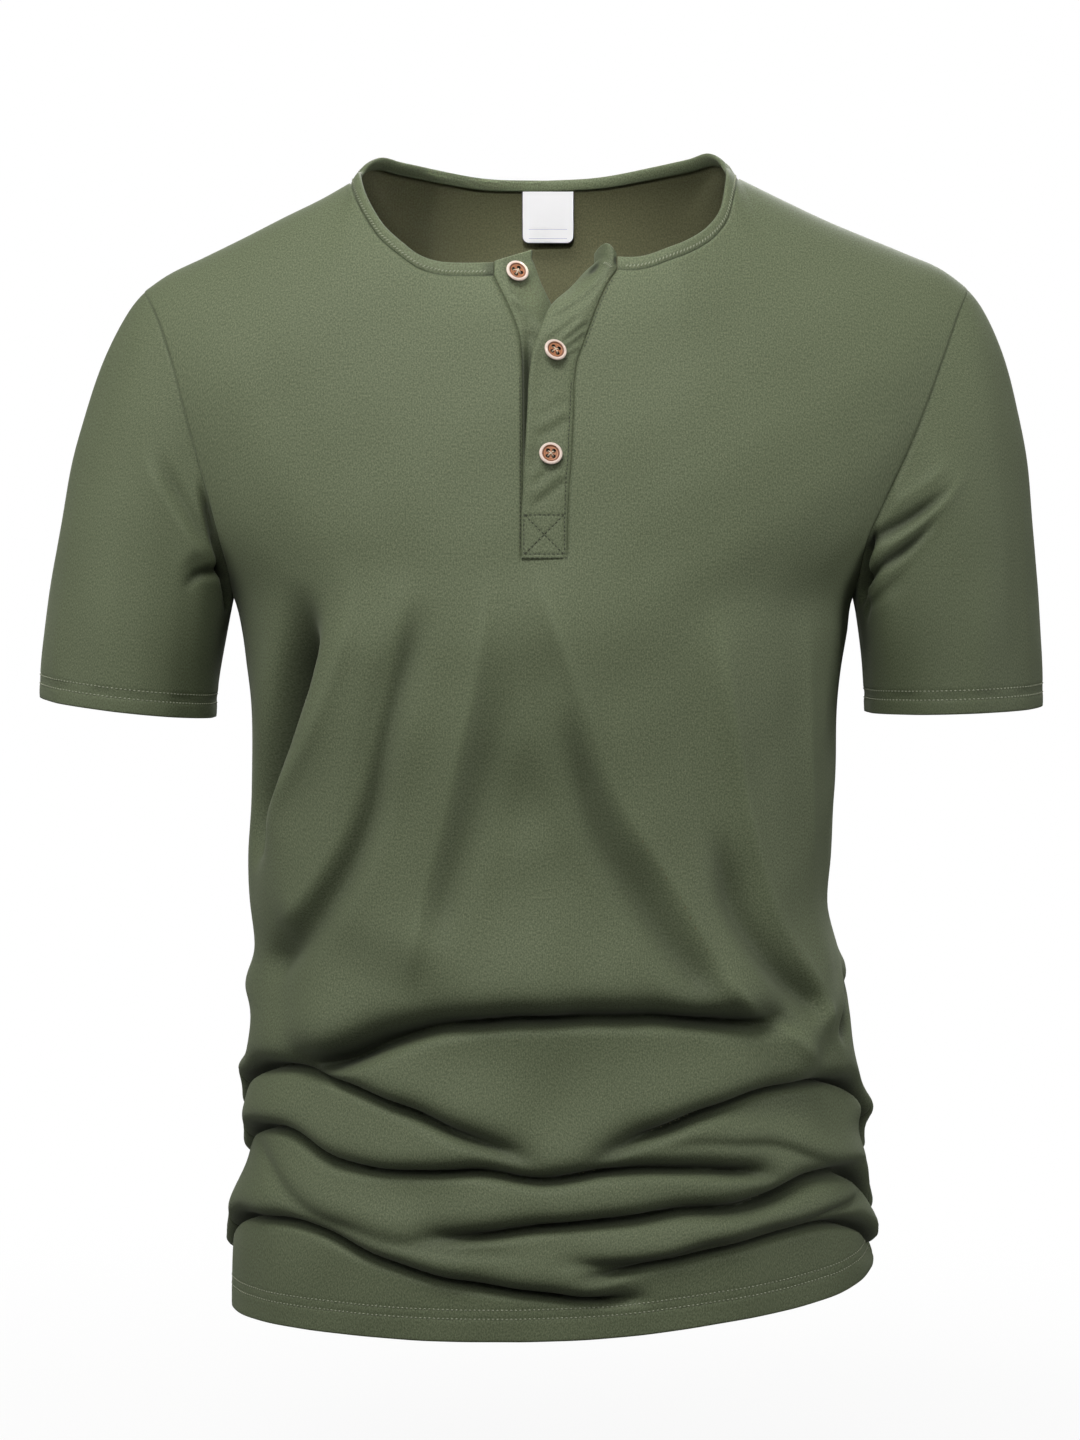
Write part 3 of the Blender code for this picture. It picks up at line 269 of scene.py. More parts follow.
# Sleeve folds: around from the shoulder and down from the armhole, negative around is the front.
SLEEVE_FOLDS_RIGHT = folds("""
    underarm_crease 0 3.4 2.2 2.2 6 34 0 -214 3 -196 8 -183 20 -172 34 -165 47 -159 56;
    *underarm_crest 2.4 0 3 14 10 34 0 -200 1 -180 11 -166 26 -158 40 -150 56;
    seam_hollow 0 2.4 5 5 30 34 0 -108 29 -123 26 -143 21 -159 18 -180 9 -196 4;
    seam_shade 0 7 4.5 4.5 24 6 0 -146 0 -162 3 -178 4 -196 4 -214 6 -230 9;
    *side_roll 2 0 12 8 34 14 0 -92 42 -112 38 -132 34 -150 30 -166 24 -182 14;
    back_underarm 3.2 4.5 12 5 14 30 0 205 4 178 14 150 28 128 40;
    *back_roll 3 0 10 8 24 24 0 70 30 105 32 140 26 170 14
""")
SLEEVE_FOLDS_LEFT = folds("""
    upper_crease 0 4.4 3 3 8 44 0 -196 2 -180 8 -164 18 -152 25 -143 30 -128 38 -112 46;
    seam_shade 0 7 4.5 4.5 12 6 0 -178 2 -196 5 -212 7 -228 10;
    *crest 3 0 5 7 10 40 0 -204 5 -190 9 -174 19 -156 30 -138 37 -119 43 -98 51;
    underarm_crease 0 5 3.2 3.2 8 40 0 -218 7 -196 15 -180 23 -161 33 -144 40 -130 45;
    *low_roll 2.2 0 16 6 14 34 0 -214 14 -190 24 -172 35 -152 45;
    *top_roll 2.6 0 5 14 14 26 0 -170 4 -150 14 -132 24 -112 32;
    third_hollow 0 2.6 6 6 12 24 0 -224 16 -196 28 -176 40 -160 50;
    back_upper 3 3.8 12 5 14 30 0 186 5 150 18 112 30 90 38;
    back_underarm 3.2 4.6 12 5 14 30 0 212 8 180 20 145 36 112 48
""")

# Neckband: part of the way round from its right end, how it leans in and up, and its height.
BAND = Table("""part inward up height
    0 0.3 0.95 8.2, 0.22 0.45 0.89 8.4, 0.3 0.72 0.7 8.8, 0.4 0.55 0.84 7.6, 0.52 0.2 0.98 6.2,
    0.64 0.55 0.84 7.6, 0.74 0.72 0.7 8.8, 0.84 0.45 0.89 8.4, 1 0.3 0.95 8.2
""")

# Plackets: height of the seam edge, then the free edge's offset across, back and up from
# it, the strip's own outward bow, how far its middle peaks up, and its lift off the panel.
PLACKET_UNDER = Table("""z across back up bow peak lift
    -214 23.8 0 0 0 0 0, -190 24 0 0 0 0 0, -163 25.2 0.3 0 0 0 0, -119 26.2 2.2 1 0 0 0,
    -97 24.4 7 4.8 0.4 0 0, -84 21.6 11 7.8 0.9 0 0, -74 20.4 12 9.8 1.2 0 0, -63 21.5 10 10.4 1.2 0 0,
    -52 22 10.6 6.7 1 0 0
""")
PLACKET_OVER = Table("""z across back up bow peak lift
    -214 -25 0 0 0 0 2.1, -163 -25.4 0 0 0.2 0 2.1, -133 -25.4 -0.4 0.4 0.5 0 2.1, -119 -25 -0.3 2 0.8 0 2.1,
    -108 -24.4 0 6 1 0 2.1, -97 -24 1 8.7 1.2 0 1.8, -84 -22.7 6.5 8.5 1.8 0 1.2,
    -74 -17.1 14.5 7.7 2.4 0.5 0.7, -63 -13.8 18.5 6 2.8 3 0.4, -52 -13.5 17 0.5 2.8 6.5 0.3
""")

# Smaller creases of the bunched cloth, and the ones that branch from the main folds.
MINOR_FOLDS = folds("""
    hip_right_small 2.6 0.9 12 6 40 60 0.6 -196 -541 -172 -551 -148 -563 -118 -574 -84 -582 -44 -588 0 -592;
    hip_left_shallow 3 0.5 8 5 28 34 0.8 54 -531 79 -530 109 -532 133 -537 152 -543 177 -550 222 -556;
    hem_branch 2.6 1 8 4.5 36 30 0.9 -3 -596 38 -593 65 -590 82 -585 99 -581 116 -578 143 -575 171 -573 207
        -573;
    waist_left_nip 2.6 2.6 8 5 8 18 1 235 -446 229 -453 203 -470 181 -485;
    back_waist_small 2.4 2.2 8 4.5 24 26 0.8 330 -532 365 -536 398 -533 430 -537;
    back_hip_small 2.4 2.2 8 4.5 24 26 0.8 -300 -574 -342 -577 -385 -573
""")

# Soft folds of the front: crisp crests, each with a hollow along one side.
DRAPE_FOLDS = folds("""
    armpit_hollow 0 22 11.5 11.5 66 40 0 -128 -226 -136 -250 -147 -278 -161 -306 -174 -332 -188 -362 -200 -392;
    armpit_crest 3.4 0 9 14 50 30 0 -112 -234 -126 -268 -142 -300 -160 -328 -180 -356;
    *chest_crest_right 5 0 12 24 60 30 0 -97 -210 -106 -252 -115 -278 -133 -314 -155 -343 -172 -363 -186 -380;
    chest_hollow_right 0 6 9 9 44 24 0 -64 -232 -76 -267 -85 -294 -92 -321 -99 -356 -113 -391 -136 -419 -165
        -437 -190 -450;
    *waist_crest_right 5 0 28 12 60 30 0 -71 -218 -83 -270 -93 -306 -100 -333 -111 -366 -132 -398 -166 -427;
    *placket_crest_right 7 0 32 14 60 30 0 -28 -216 -34 -256 -38 -282 -44 -309 -50 -336 -56 -363 -64 -393 -70
        -420 -77 -448;
    placket_hollow_right 0 4.6 11 11 56 30 0 -24 -278 -30 -309 -38 -336 -46 -366 -56 -401 -65 -430;
    *placket_crest_left 7.4 0 36 15 56 26 0 -8 -212 0 -240 10 -267 20 -297 30 -328 46 -359 62 -382 77 -403 88
        -421 99 -440 119 -462 138 -478 162 -496;
    placket_hollow_left 0 6.6 11 11 50 22 0 9 -292 19 -321 27 -348 38 -375 58 -406 81 -433 99 -446;
    belly_hollow 0 3 24 24 40 30 0 -14 -310 -12 -350 -2 -380;
    *waist_crest_left 6.4 0 32 10 60 20 0 92 -234 101 -290 108 -321 113 -349 118 -368 130 -400 143 -427 157 -452
        171 -485;
    waist_hollow_left 0 6.5 8 8 50 14 0 95 -355 103 -387 111 -410 123 -430 138 -449 162 -470;
    waist_edge_left 0 2.6 5 5 12 16 0 219 -448 197 -466 178 -484;
    *chest_pull_left 3 0 22 12 60 50 0 150 -240 158 -300 163 -350 172 -396;
    side_pull_left 0 1.4 11 11 40 50 0 186 -262 190 -310 196 -356
""")

# Slight waves of the cloth: length, direction and share.
RIPPLES = ((61.0, 0.35, 0.9), (43.0, -0.8, 0.6), (97.0, 1.2, 1.0), (29.0, 0.1, 0.35))

# Small creases of the placket strips: place across a strip of 25, and height.
PLACKET_CREASES = {
    "under": folds("""
        fold_below_button 1 1.1 5 2.8 6 6 0 3 -90 12 -98 22 -110;
        fold_from_seam 0.9 0.9 5 2.8 6 8 0 1 -74 8 -84 13 -98
    """),
    "over": folds("""
        button_pull 1 1.1 3.4 2 5 5 0 13 -99 18 -93 24 -85;
        button_pull_low 0.9 1 3.4 2 5 5 0 15 -104 20 -98 25 -91;
        button_pull_under 0.6 0.7 3.2 1.8 4 4 0 16 -109 20 -105 25 -101;
        middle_fold 1.1 0.9 7 3.4 9 6 0 3 -151 12 -146 25 -138;
        middle_soft 0.5 0.5 5 4 8 6 0 4 -142 14 -134 24 -128;
        lower_fold 1.1 1 7 3.2 9 6 0 4 -189 12 -182 25 -171;
        lower_soft 0.8 0.7 5 3 7 6 0 4 -178 10 -171 17 -165;
        lapel_fold 0.8 0.8 6 2.6 8 8 0 3 -86 11 -78 21 -62;
        lapel_fold_low 0.5 0.5 5 2.6 7 7 0 3 -100 11 -92 19 -82
    """),
}

# The neckband's section: share of its height, and of its wall from its outer side.
BAND_SECTION = (
    (0, 0.06), (0.1, 0), (0.28, 0), (0.46, 0), (0.64, 0), (0.8, 0), (0.9, 0.04), (0.97, 0.2), (1, 0.5),
    (0.97, 0.8), (0.9, 0.96), (0.7, 1), (0.4, 1), (0.1, 1), (0, 0.9),
)

# The button's section from the middle of its back round to the middle of its dish.
BUTTON_SECTION = (
    (0, 0), (0.6, 0), (0.74, 0.03), (0.86, 0.14), (0.94, 0.3), (0.985, 0.5), (1, 0.66), (0.985, 0.82),
    (0.95, 0.93), (0.9, 0.985), (0.84, 1), (0.78, 0.98), (0.735, 0.93), (0.7, 0.86), (0.67, 0.8), (0.62, 0.755),
    (0.54, 0.735), (0.4, 0.73), (0, 0.73),
)
BUTTON_PLACES = (
    ButtonPlace("button_top", "under", 0.50, -59.4, 7.0),
    ButtonPlace("button_middle", "over", 0.53, -103.8, 19.0),
    ButtonPlace("button_bottom", "over", 0.465, -159.8, 8.0),
)

# Rows of stitches above the hem's and the cuffs' edges.
HEM_STITCH_ROWS = (12.5, 17.5)
CUFF_STITCH_ROWS = (8.0, 13.0)

# The box of stitches at the placket's foot: both ends across the strip, and its rows' heights.
BOX_ENDS = (2.4, 22.6)
BOX_ROWS = (-192.2, -213.4)

# The empty buttonhole's ends, sunk and given painted shade: place across the strip, height, and reach both ways.
BUTTONHOLE_ENDS = ((8.0, -56.5, 2.6, 2.6), (23.0, -52.2, 1.8, 1.8))

# A bunched crease's lower side is this much narrower than its upper side.
CREASE_EDGE = 0.5


def ease(t: Array) -> Array:
    """A smooth step from 0 to 1."""
    t = np.clip(t, 0.0, 1.0)
    return t * t * (3 - 2 * t)


def unit(vectors: Array) -> Array:
    """Vectors of length one along the last axis."""
    return vectors / np.maximum(np.linalg.norm(vectors, axis=-1, keepdims=True), 1e-12)


def run_along(points: Array) -> Array:
    """Distance travelled at each point of a line."""
    steps = np.linalg.norm(np.diff(points, axis=0), axis=-1)
    return np.concatenate([np.zeros_like(steps[:1]), np.cumsum(steps, axis=0)])


def points_at(at: Array, run: Array, line: Array) -> Array:
    """Points of a line at these distances along it."""
    return pile(*(np.interp(at, run, part) for part in line.T))


def along_line(points: Sequence, part: Array) -> Array:
    """Points of a short table at these parts of its length."""
    points = np.reshape(points, (-1, 2)).astype(float)
    run = run_along(points)
    at = np.asarray(part) * run[-1]
    return pile(*(through(at, run, part) for part in points.T))


def fold_relief(around: Array, height: Array, folds: Iterable[Fold], wrap: Optional[float] = None) -> tuple:
    """Height of the folds over the form, how far each point sags, and the shade and highlight painted on it.

    Args:
        around: distance around the form.
        height: height of each place, in the folds' own terms.
        folds: the folds.
        wrap: length of the closed way round, if the folds may cross its start.

    Returns:
        The relief and the sag at each place, and the shade painted there in the creases, negative where a highlight is
        painted on a crisp crest.
    """
    place = pile(np.ravel(around), np.ravel(height))
    relief, sag, hollow = np.zeros((3, len(place)))
    for fold in folds:
        line = along_line(fold.line, np.linspace(0, 1, len(fold.line) * 6 - 11))
        start, along = line[:-1], np.diff(line, axis=0)
        length = np.linalg.norm(along, axis=1)
        run = run_along(line)
        lean = 1.0 if line[-1, 0] > line[0, 0] else -1.0
        reach_all = 3.0 * max(fold.gentle, fold.steep) + fold.steep
        low, high = line.min(axis=0) - reach_all, line.max(axis=0) + reach_all
        for shift in (0.0,) if wrap is None else (-wrap, 0.0, wrap):
            moved = place + (shift, 0.0)
            near = np.nonzero(((moved > low) & (moved < high)).all(axis=1))[0]
            if not len(near):
                continue
            offset = moved[near, None, :] - start[None]
            part = np.clip((offset * along).sum(-1) / length**2, 0, 1)
            gap = offset - part[..., None] * along
            distance = np.linalg.norm(gap, axis=-1)
            nearest = distance.argmin(axis=1)
            pick = np.arange(len(near)), nearest
            cross = along[nearest, 0] * gap[pick][:, 1] - along[nearest, 1] * gap[pick][:, 0]
            above = np.where(cross * lean >= 0, 1.0, -1.0) * distance[pick]
            travelled = run[nearest] + part[pick] * length[nearest]
            strength = ease(travelled / fold.fade_in) * ease((run[-1] - travelled) / fold.fade_out)
            if fold.sag > 1:
                strength *= 1 + 0.12 * np.sin(travelled / 17 + len(fold.name)) + 0.05 * np.sin(travelled / 6.3)
            hump = above - fold.steep * (1.0 if fold.crease and fold.ridge else 0.0)
            reach = np.where(hump > 0, fold.gentle, fold.steep)
            if fold.crisp:
                swell = np.exp((2.0 - np.hypot(hump, 2.0)) / reach) * ease(3.0 - np.abs(hump) / reach)
                swell += 0.16 * np.exp(-((hump / 3.0) ** 2))
                # A painted highlight along a crisp crest.
                hollow[near] -= 0.34 * strength * np.exp(-((hump / 3.2) ** 2))
            else:
                swell = np.exp(-((hump / reach) ** 2))
            edge = CREASE_EDGE if fold.sag > 1 else 1.0
            pinch = np.exp(-((above / np.where(above < 0, edge, 1.0) / fold.steep) ** 2))
            relief[near] += strength * (fold.ridge * swell - fold.crease * pinch)
            # Painted shade in the crease, stronger for a deep narrow crease, and for a bunched fold also a wider
            # painted shade under the roll above it.
            under = pinch + (0.25 * np.exp(-((above / fold.steep / 1.9) ** 2)) * (above > 0) if fold.sag > 1 else 0)
            hollow[near] += 4.9 * strength * under * (fold.crease / (fold.crease + 2 * fold.steep)) ** 2
            sag[near] += strength * fold.sag * swell
    return tuple(found.reshape(np.shape(around)) for found in (relief, sag, hollow))


def normals(grid: Array, closed: bool = False) -> Array:
    """Outward normals of a grid of points: rows run up and columns to the wearer's left.

    Args:
        grid: the points.
        closed: True if the last column joins the first.

    Returns:
        A unit vector for each point.
    """
    wide = np.concatenate([grid, grid[:, :1]], axis=1) if closed else grid
    cell = np.cross(wide[1:, 1:] - wide[:-1, :-1], wide[1:, :-1] - wide[:-1, 1:])
    out = np.zeros_like(wide)
    for row in (0, 1):
        for col in (0, 1):
            out[row:row + len(cell), col:col + cell.shape[1]] += cell
    if closed:
        out[:, 0] += out[:, -1]
        out = out[:, :-1]
    return unit(out)


@dataclass
class Surface:
    """A grid of points with its outward normals."""

    points: Array
    closed: bool = False

    def __post_init__(self) -> None:
        """Finds the normals."""
        self.out = normals(self.points, self.closed)

    def at(self, rows: Array, cols: Array) -> tuple:
        """Points and normals at fractional rows and columns.

        Args:
            rows: fractional row of each place.
            cols: fractional column of each place, of the same shape.

        Returns:
            The points and the unit normals.
        """
        count_r, count_c = self.points.shape[:2]
        last = np.inf if self.closed else count_c - 1
        rows, cols = np.clip(rows, 0, count_r - 1), np.clip(cols, 0, last)
        r0 = np.minimum(np.floor(rows), count_r - 2).astype(int)
        c0 = np.minimum(np.floor(cols), last - 1).astype(int)
        fr, fc = (rows - r0)[..., None], (cols - c0)[..., None]
        c1 = (c0 + 1) % count_c
        c0 = c0 % count_c
        found = []
        for grid in (self.points, self.out):
            low = grid[r0, c0] * (1 - fc) + grid[r0, c1] * fc
            high = grid[r0 + 1, c0] * (1 - fc) + grid[r0 + 1, c1] * fc
            found.append(low * (1 - fr) + high * fr)
        return found[0], unit(found[1])

    def rows_from_edge(self, distance: float) -> Array:
        """Fractional row that lies this far from the first row in each column."""
        run = run_along(self.points)
        return np.array([np.interp(distance, run[:, k], np.arange(len(run))) for k in range(run.shape[1])])


def put(name: str, data: object) -> Object:
    """An object of the scene that shows a mesh, a light or a camera."""
    obj = bpy.data.objects.new(name, data)
    bpy.context.scene.collection.objects.link(obj)
    return obj


def plain_mesh(obj: Object) -> Mesh:
    """An object's mesh with its modifiers worked out."""
    bpy.context.view_layer.update()
    return bpy.data.meshes.new_from_object(obj.evaluated_get(bpy.context.evaluated_depsgraph_get()))


def finish_mesh(name: str, build: bmesh.types.BMesh) -> Mesh:
    """A mesh of what was built."""
    mesh = bpy.data.meshes.new(name)
    build.to_mesh(mesh)
    build.free()
    return mesh


def skin(build: bmesh.types.BMesh, rings: Sequence) -> None:
    """Joins rings of points in turn with faces; a ring may be a single point."""
    for low, high in zip(rings, rings[1:]):
        for k in range(max(len(low), len(high))):
            near, far = ([ring[(k + step) % len(ring)] for step in (0, 1)] for ring in (low, high))
            build.faces.new(tuple(dict.fromkeys(near + far[::-1])))


def paint(mesh: Mesh, finish: Material, sharp: float = 180.0) -> None:
    """Gives a mesh its material and smooth faces, sharp past an angle in degrees.

    Args:
        mesh: the mesh.
        finish: its only material.
        sharp: the angle past which an edge is sharp.
    """
    mesh.materials.clear()
    mesh.materials.append(finish)
    mesh.polygons.foreach_set("use_smooth", np.ones(len(mesh.polygons), bool))
    if sharp < 180.0:
        mesh.set_sharp_from_angle(angle=math.radians(sharp))


def mark_painted_shade(mesh: Mesh, hollow: Array) -> None:
    """Keeps the shade painted at each point of a mesh for its finish, negative where a highlight is painted."""
    mesh.attributes.new("hollow", "FLOAT", "POINT").data.foreach_set("value", hollow.astype(np.float32))


def cloth_object(
    name: str, outer: Array, inner: Array, uv: Array, finishes: Sequence[Material],
    closed: bool = False, missing: Optional[Array] = None, rounding: float = 0.2, hollow: Optional[Array] = None,
) -> Object:
    """A closed wall of cloth between two grids of points, with rounded rims.

    Args:
        name: the object's name.
        outer: grid of points of the outer side.
        inner: grid of points of the inner side.
        uv: place on the cloth of each point in metres, with one column more if closed.
        finishes: materials of the outer side, and of the inner side if it differs.
        closed: True if the last column joins the first.
        missing: True for each cell that is left out.
        rounding: how far the rim bulges, as a part of the wall.
        hollow: the shade painted on the outer side at each point, negative where a highlight is painted on a crest.

    Returns:
        The linked object.
    """
    rows, columns = outer.shape[:2]
    count = rows * columns
    index = np.arange(count).reshape(rows, columns)
    if closed:
        index = np.concatenate([index, index[:, :1]], axis=1)
    corners, corner_uv = cells(index), cells(uv)
    kept = np.ones(corners.shape[:2], bool) if missing is None else ~missing
    quads, quad_uv = corners[kept], corner_uv[kept]
    start = quads.reshape(-1)
    end = np.roll(quads, -1, axis=1).reshape(-1)
    start_uv = quad_uv.reshape(-1, 2)
    end_uv = np.roll(quad_uv, -1, axis=1).reshape(-1, 2)
    alone = ~np.isin(start * count + end, end * count + start)
    a, b, uv_a, uv_b = start[alone], end[alone], start_uv[alone], end_uv[alone]
    flat_outer, flat_inner = outer.reshape(-1, 3), inner.reshape(-1, 3)
    out = normals(outer, closed).reshape(-1, 3)
    away = np.zeros_like(flat_outer)
    edge_away = np.cross(flat_outer[b] - flat_outer[a], out[a] + out[b])
    np.add.at(away, a, edge_away)
    np.add.at(away, b, edge_away)
    rim = np.unique(np.concatenate([a, b]))
    wall = np.linalg.norm(flat_outer[rim] - flat_inner[rim], axis=1, keepdims=True)
    middle = (flat_outer[rim] + flat_inner[rim]) / 2 + unit(away[rim]) * wall * rounding
    mid_of = np.full(count, -1)
    mid_of[rim] = 2 * count + np.arange(len(rim))
    faces = np.concatenate([
        quads, quads[:, ::-1] + count,
        np.stack([b, a, mid_of[a], mid_of[b]], axis=1),
        np.stack([mid_of[b], mid_of[a], a + count, b + count], axis=1),
    ])
    rim_uv = np.stack([uv_b, uv_a, uv_a, uv_b], axis=1)
    all_uv = np.concatenate([quad_uv, quad_uv[:, ::-1], rim_uv, rim_uv])
    points = np.concatenate([flat_outer, flat_inner, middle])
    used, packed = np.unique(faces, return_inverse=True)
    mesh = bpy.data.meshes.new(name)
    mesh.from_pydata(points[used] * MM, [], packed.reshape(faces.shape).tolist())
    layer = mesh.uv_layers.new(name="cloth")
    layer.data.foreach_set("uv", all_uv.reshape(-1).astype(np.float32))
    # The outer side's painted shade; the inner side and the rims get none.
    if hollow is not None:
        mark_painted_shade(mesh, np.concatenate([hollow.reshape(-1), np.zeros(len(points) - count)])[used])
    for finish in finishes:
        mesh.materials.append(finish)
    slots = np.zeros(len(faces), np.int32)
    if len(finishes) > 1:
        slots[len(quads):2 * len(quads)] = 1
    mesh.polygons.foreach_set("material_index", slots)
    mesh.polygons.foreach_set("use_smooth", np.ones(len(faces), bool))
    mesh.update()
    mesh.set_sharp_from_angle(angle=math.radians(80))
    return put(name, mesh)


def settle(obj: Object, node: Optional[str]) -> Object:
    """Rides a piece on the body and stands it for its CAD node.

    Args:
        obj: the piece.
        node: the CAD node it replaces, if any.

    Returns:
        The piece.
    """
    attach(obj, BODY)
    if node:
        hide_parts(node)
    LOG.info("%s: %d faces", obj.name, len(obj.data.polygons))
    return obj


@dataclass
class BodyForm:
    """The worn shape of the body: a stack of superellipse sections with folds on it."""

    power: float = 2.3
    girth_half_width: float = 170.0
    girth_depth: float = 112.0
    underarm: float = -238.0
    hem: float = -640.0
    hem_blend: float = 90.0
    bulge_reach: float = 62.0
    ripple: float = 0.35
    ripple_fade: float = 60.0
    ridge_gain: float = 1.15
    crease_gain: float = 3.3
    sag_gain: float = 2.0
    drape_gain: float = 1.25
    corner_blend: float = 0.55
    corner_reach: float = 26.0

    def __post_init__(self) -> None:
        """Measures the way around a middle section."""
        self.angle = np.linspace(0, math.pi / 2, 721)
        x = self.girth_half_width * np.sin(self.angle) ** (2 / self.power)
        y = self.girth_depth * np.cos(self.angle).clip(0) ** (2 / self.power)
        self.length = run_along(pile(x, y))
        self.side_seam = self.length[-1]
        bunched = [
            fold._replace(
                ridge=fold.ridge * self.ridge_gain, crease=fold.crease * self.crease_gain,
                sag=fold.sag * self.sag_gain,
            )
            for fold in BUNCH_FOLDS + MINOR_FOLDS
        ]
        draped = [
            fold._replace(ridge=fold.ridge * self.drape_gain, crease=fold.crease * self.drape_gain)
            for fold in DRAPE_FOLDS
        ]
        self.folds = (*bunched, *BLADE_FOLDS, *draped)

    def widths(self, z: Array, x: Array) -> Array:
        """The section's half width at this height, on the side that x lies."""
        return np.where(x < 0, LEVELS.at("right", z), LEVELS.at("left", z))

    def ridge(self, name: str, x: Array) -> Array:
        """The named column of the ridge tables at each x."""
        right, left = SHOULDER_RIGHT.at(name, x), SHOULDER_LEFT.at(name, x)
        first, last = OVER_NECK.columns["x"][[0, -1]]
        return np.where((x > first) & (x < last), OVER_NECK.at(name, x), np.where(x < 0, right, left))

    def rounding(self, x: Array, z: Array) -> Array:
        """How much of the section's depth is left where the shoulders round over.

        Below the ridge the tables are read over a width that grows with the distance, so that
        the neck's corners don't run down the cloth as creases.

        Args:
            x: how far out.
            z: height.

        Returns:
            The share of the depth at each place.
        """
        below = np.clip(self.ridge("z", x) - z, 0, None)
        width = np.clip(self.corner_blend * below, 0, self.corner_reach)
        total = np.zeros_like(z)
        shares = np.linspace(-1, 1, 9)
        for share in shares:
            at = x + share * width
            fall = self.ridge("fall", at)
            t = np.clip((z - self.ridge("z", at) + fall) / fall, 0, 1)
            total += np.sqrt(1 - t * t)
        return total / len(shares)

    def bulge(self, side: Side, z: Array) -> Array:
        """How far the bunched cloth stands out at a side seam."""
        total = np.zeros_like(z)
        for at, out, below, above in BULGES[side]:
            total += out * np.exp(-(((z - at) / np.where(z < at, below, above)) ** 2))
        return total

    def unevenness(self, around: Array, z: Array) -> Array:
        """Slight waves of the cloth, of no one direction, that die away at the middle of the back."""
        total = np.zeros_like(around)
        for turn, (pitch, lean, size) in enumerate(RIPPLES):
            total += size * np.sin((around * math.cos(lean) + z * math.sin(lean)) * 2 * math.pi / pitch + 1.7 * turn)
        return self.ripple * total * ease((2 * self.side_seam - np.abs(around)) / self.ripple_fade)

    def place(self, x: Array, z: Array, face: Face) -> tuple:
        """Points of the folded cloth, from their place seen from the front.

        Args:
            x: how far out, before the folds.
            z: height, before the folds.
            face: front or back.

        Returns:
            The points, and the shade painted at each.
        """
        sign = face.value
        half_width = self.widths(z, x)
        depth = LEVELS.at("front" if face is Face.FRONT else "back", z)
        share = np.clip(np.abs(x) / half_width, 0, 1) ** self.power
        y_share = (1 - share) ** (1 / self.power)
        round_over = self.rounding(x, z)
        around = np.interp(np.arcsin(np.sqrt(share)), self.angle, self.length)
        from_seam = self.side_seam - around
        around = np.where(sign < 0, around, 2 * self.side_seam - around) * np.where(x < 0, -1.0, 1.0)
        out_x = np.sign(x) * (np.abs(x) / half_width) ** (self.power - 1) / half_width
        out_y = sign * y_share ** (self.power - 1) / depth
        size = np.hypot(out_x, out_y)
        relief, sag, hollow = fold_relief(around, z, self.folds, 4 * self.side_seam)
        bulges = np.where(x < 0, self.bulge(Side.RIGHT, z), self.bulge(Side.LEFT, z))
        relief = relief + bulges * (1 - ease(from_seam / self.bulge_reach)) + self.unevenness(around, z)
        lift = relief * round_over
        y = sign * depth * y_share * round_over
        return pile(x + lift * out_x / size, y + lift * out_y / size, z - sag), hollow

    def on_cloth(self, x: Array, z: Array) -> Array:
        """How far along the cloth each x lies from the middle of its panel."""
        share = np.clip(np.abs(x) / self.widths(z, x), 0, 1) ** self.power
        around = np.interp(np.arcsin(np.sqrt(share)), self.angle, self.length)
        return np.sign(x) * around * self.widths(z, x) / self.girth_half_width


def edge_dip(distance: Array, depth: float = 0.85, width: float = 0.9) -> Array:
    """How far the cloth dips towards a seam, at each distance from it."""
    return depth * np.exp(-((distance / width) ** 2))


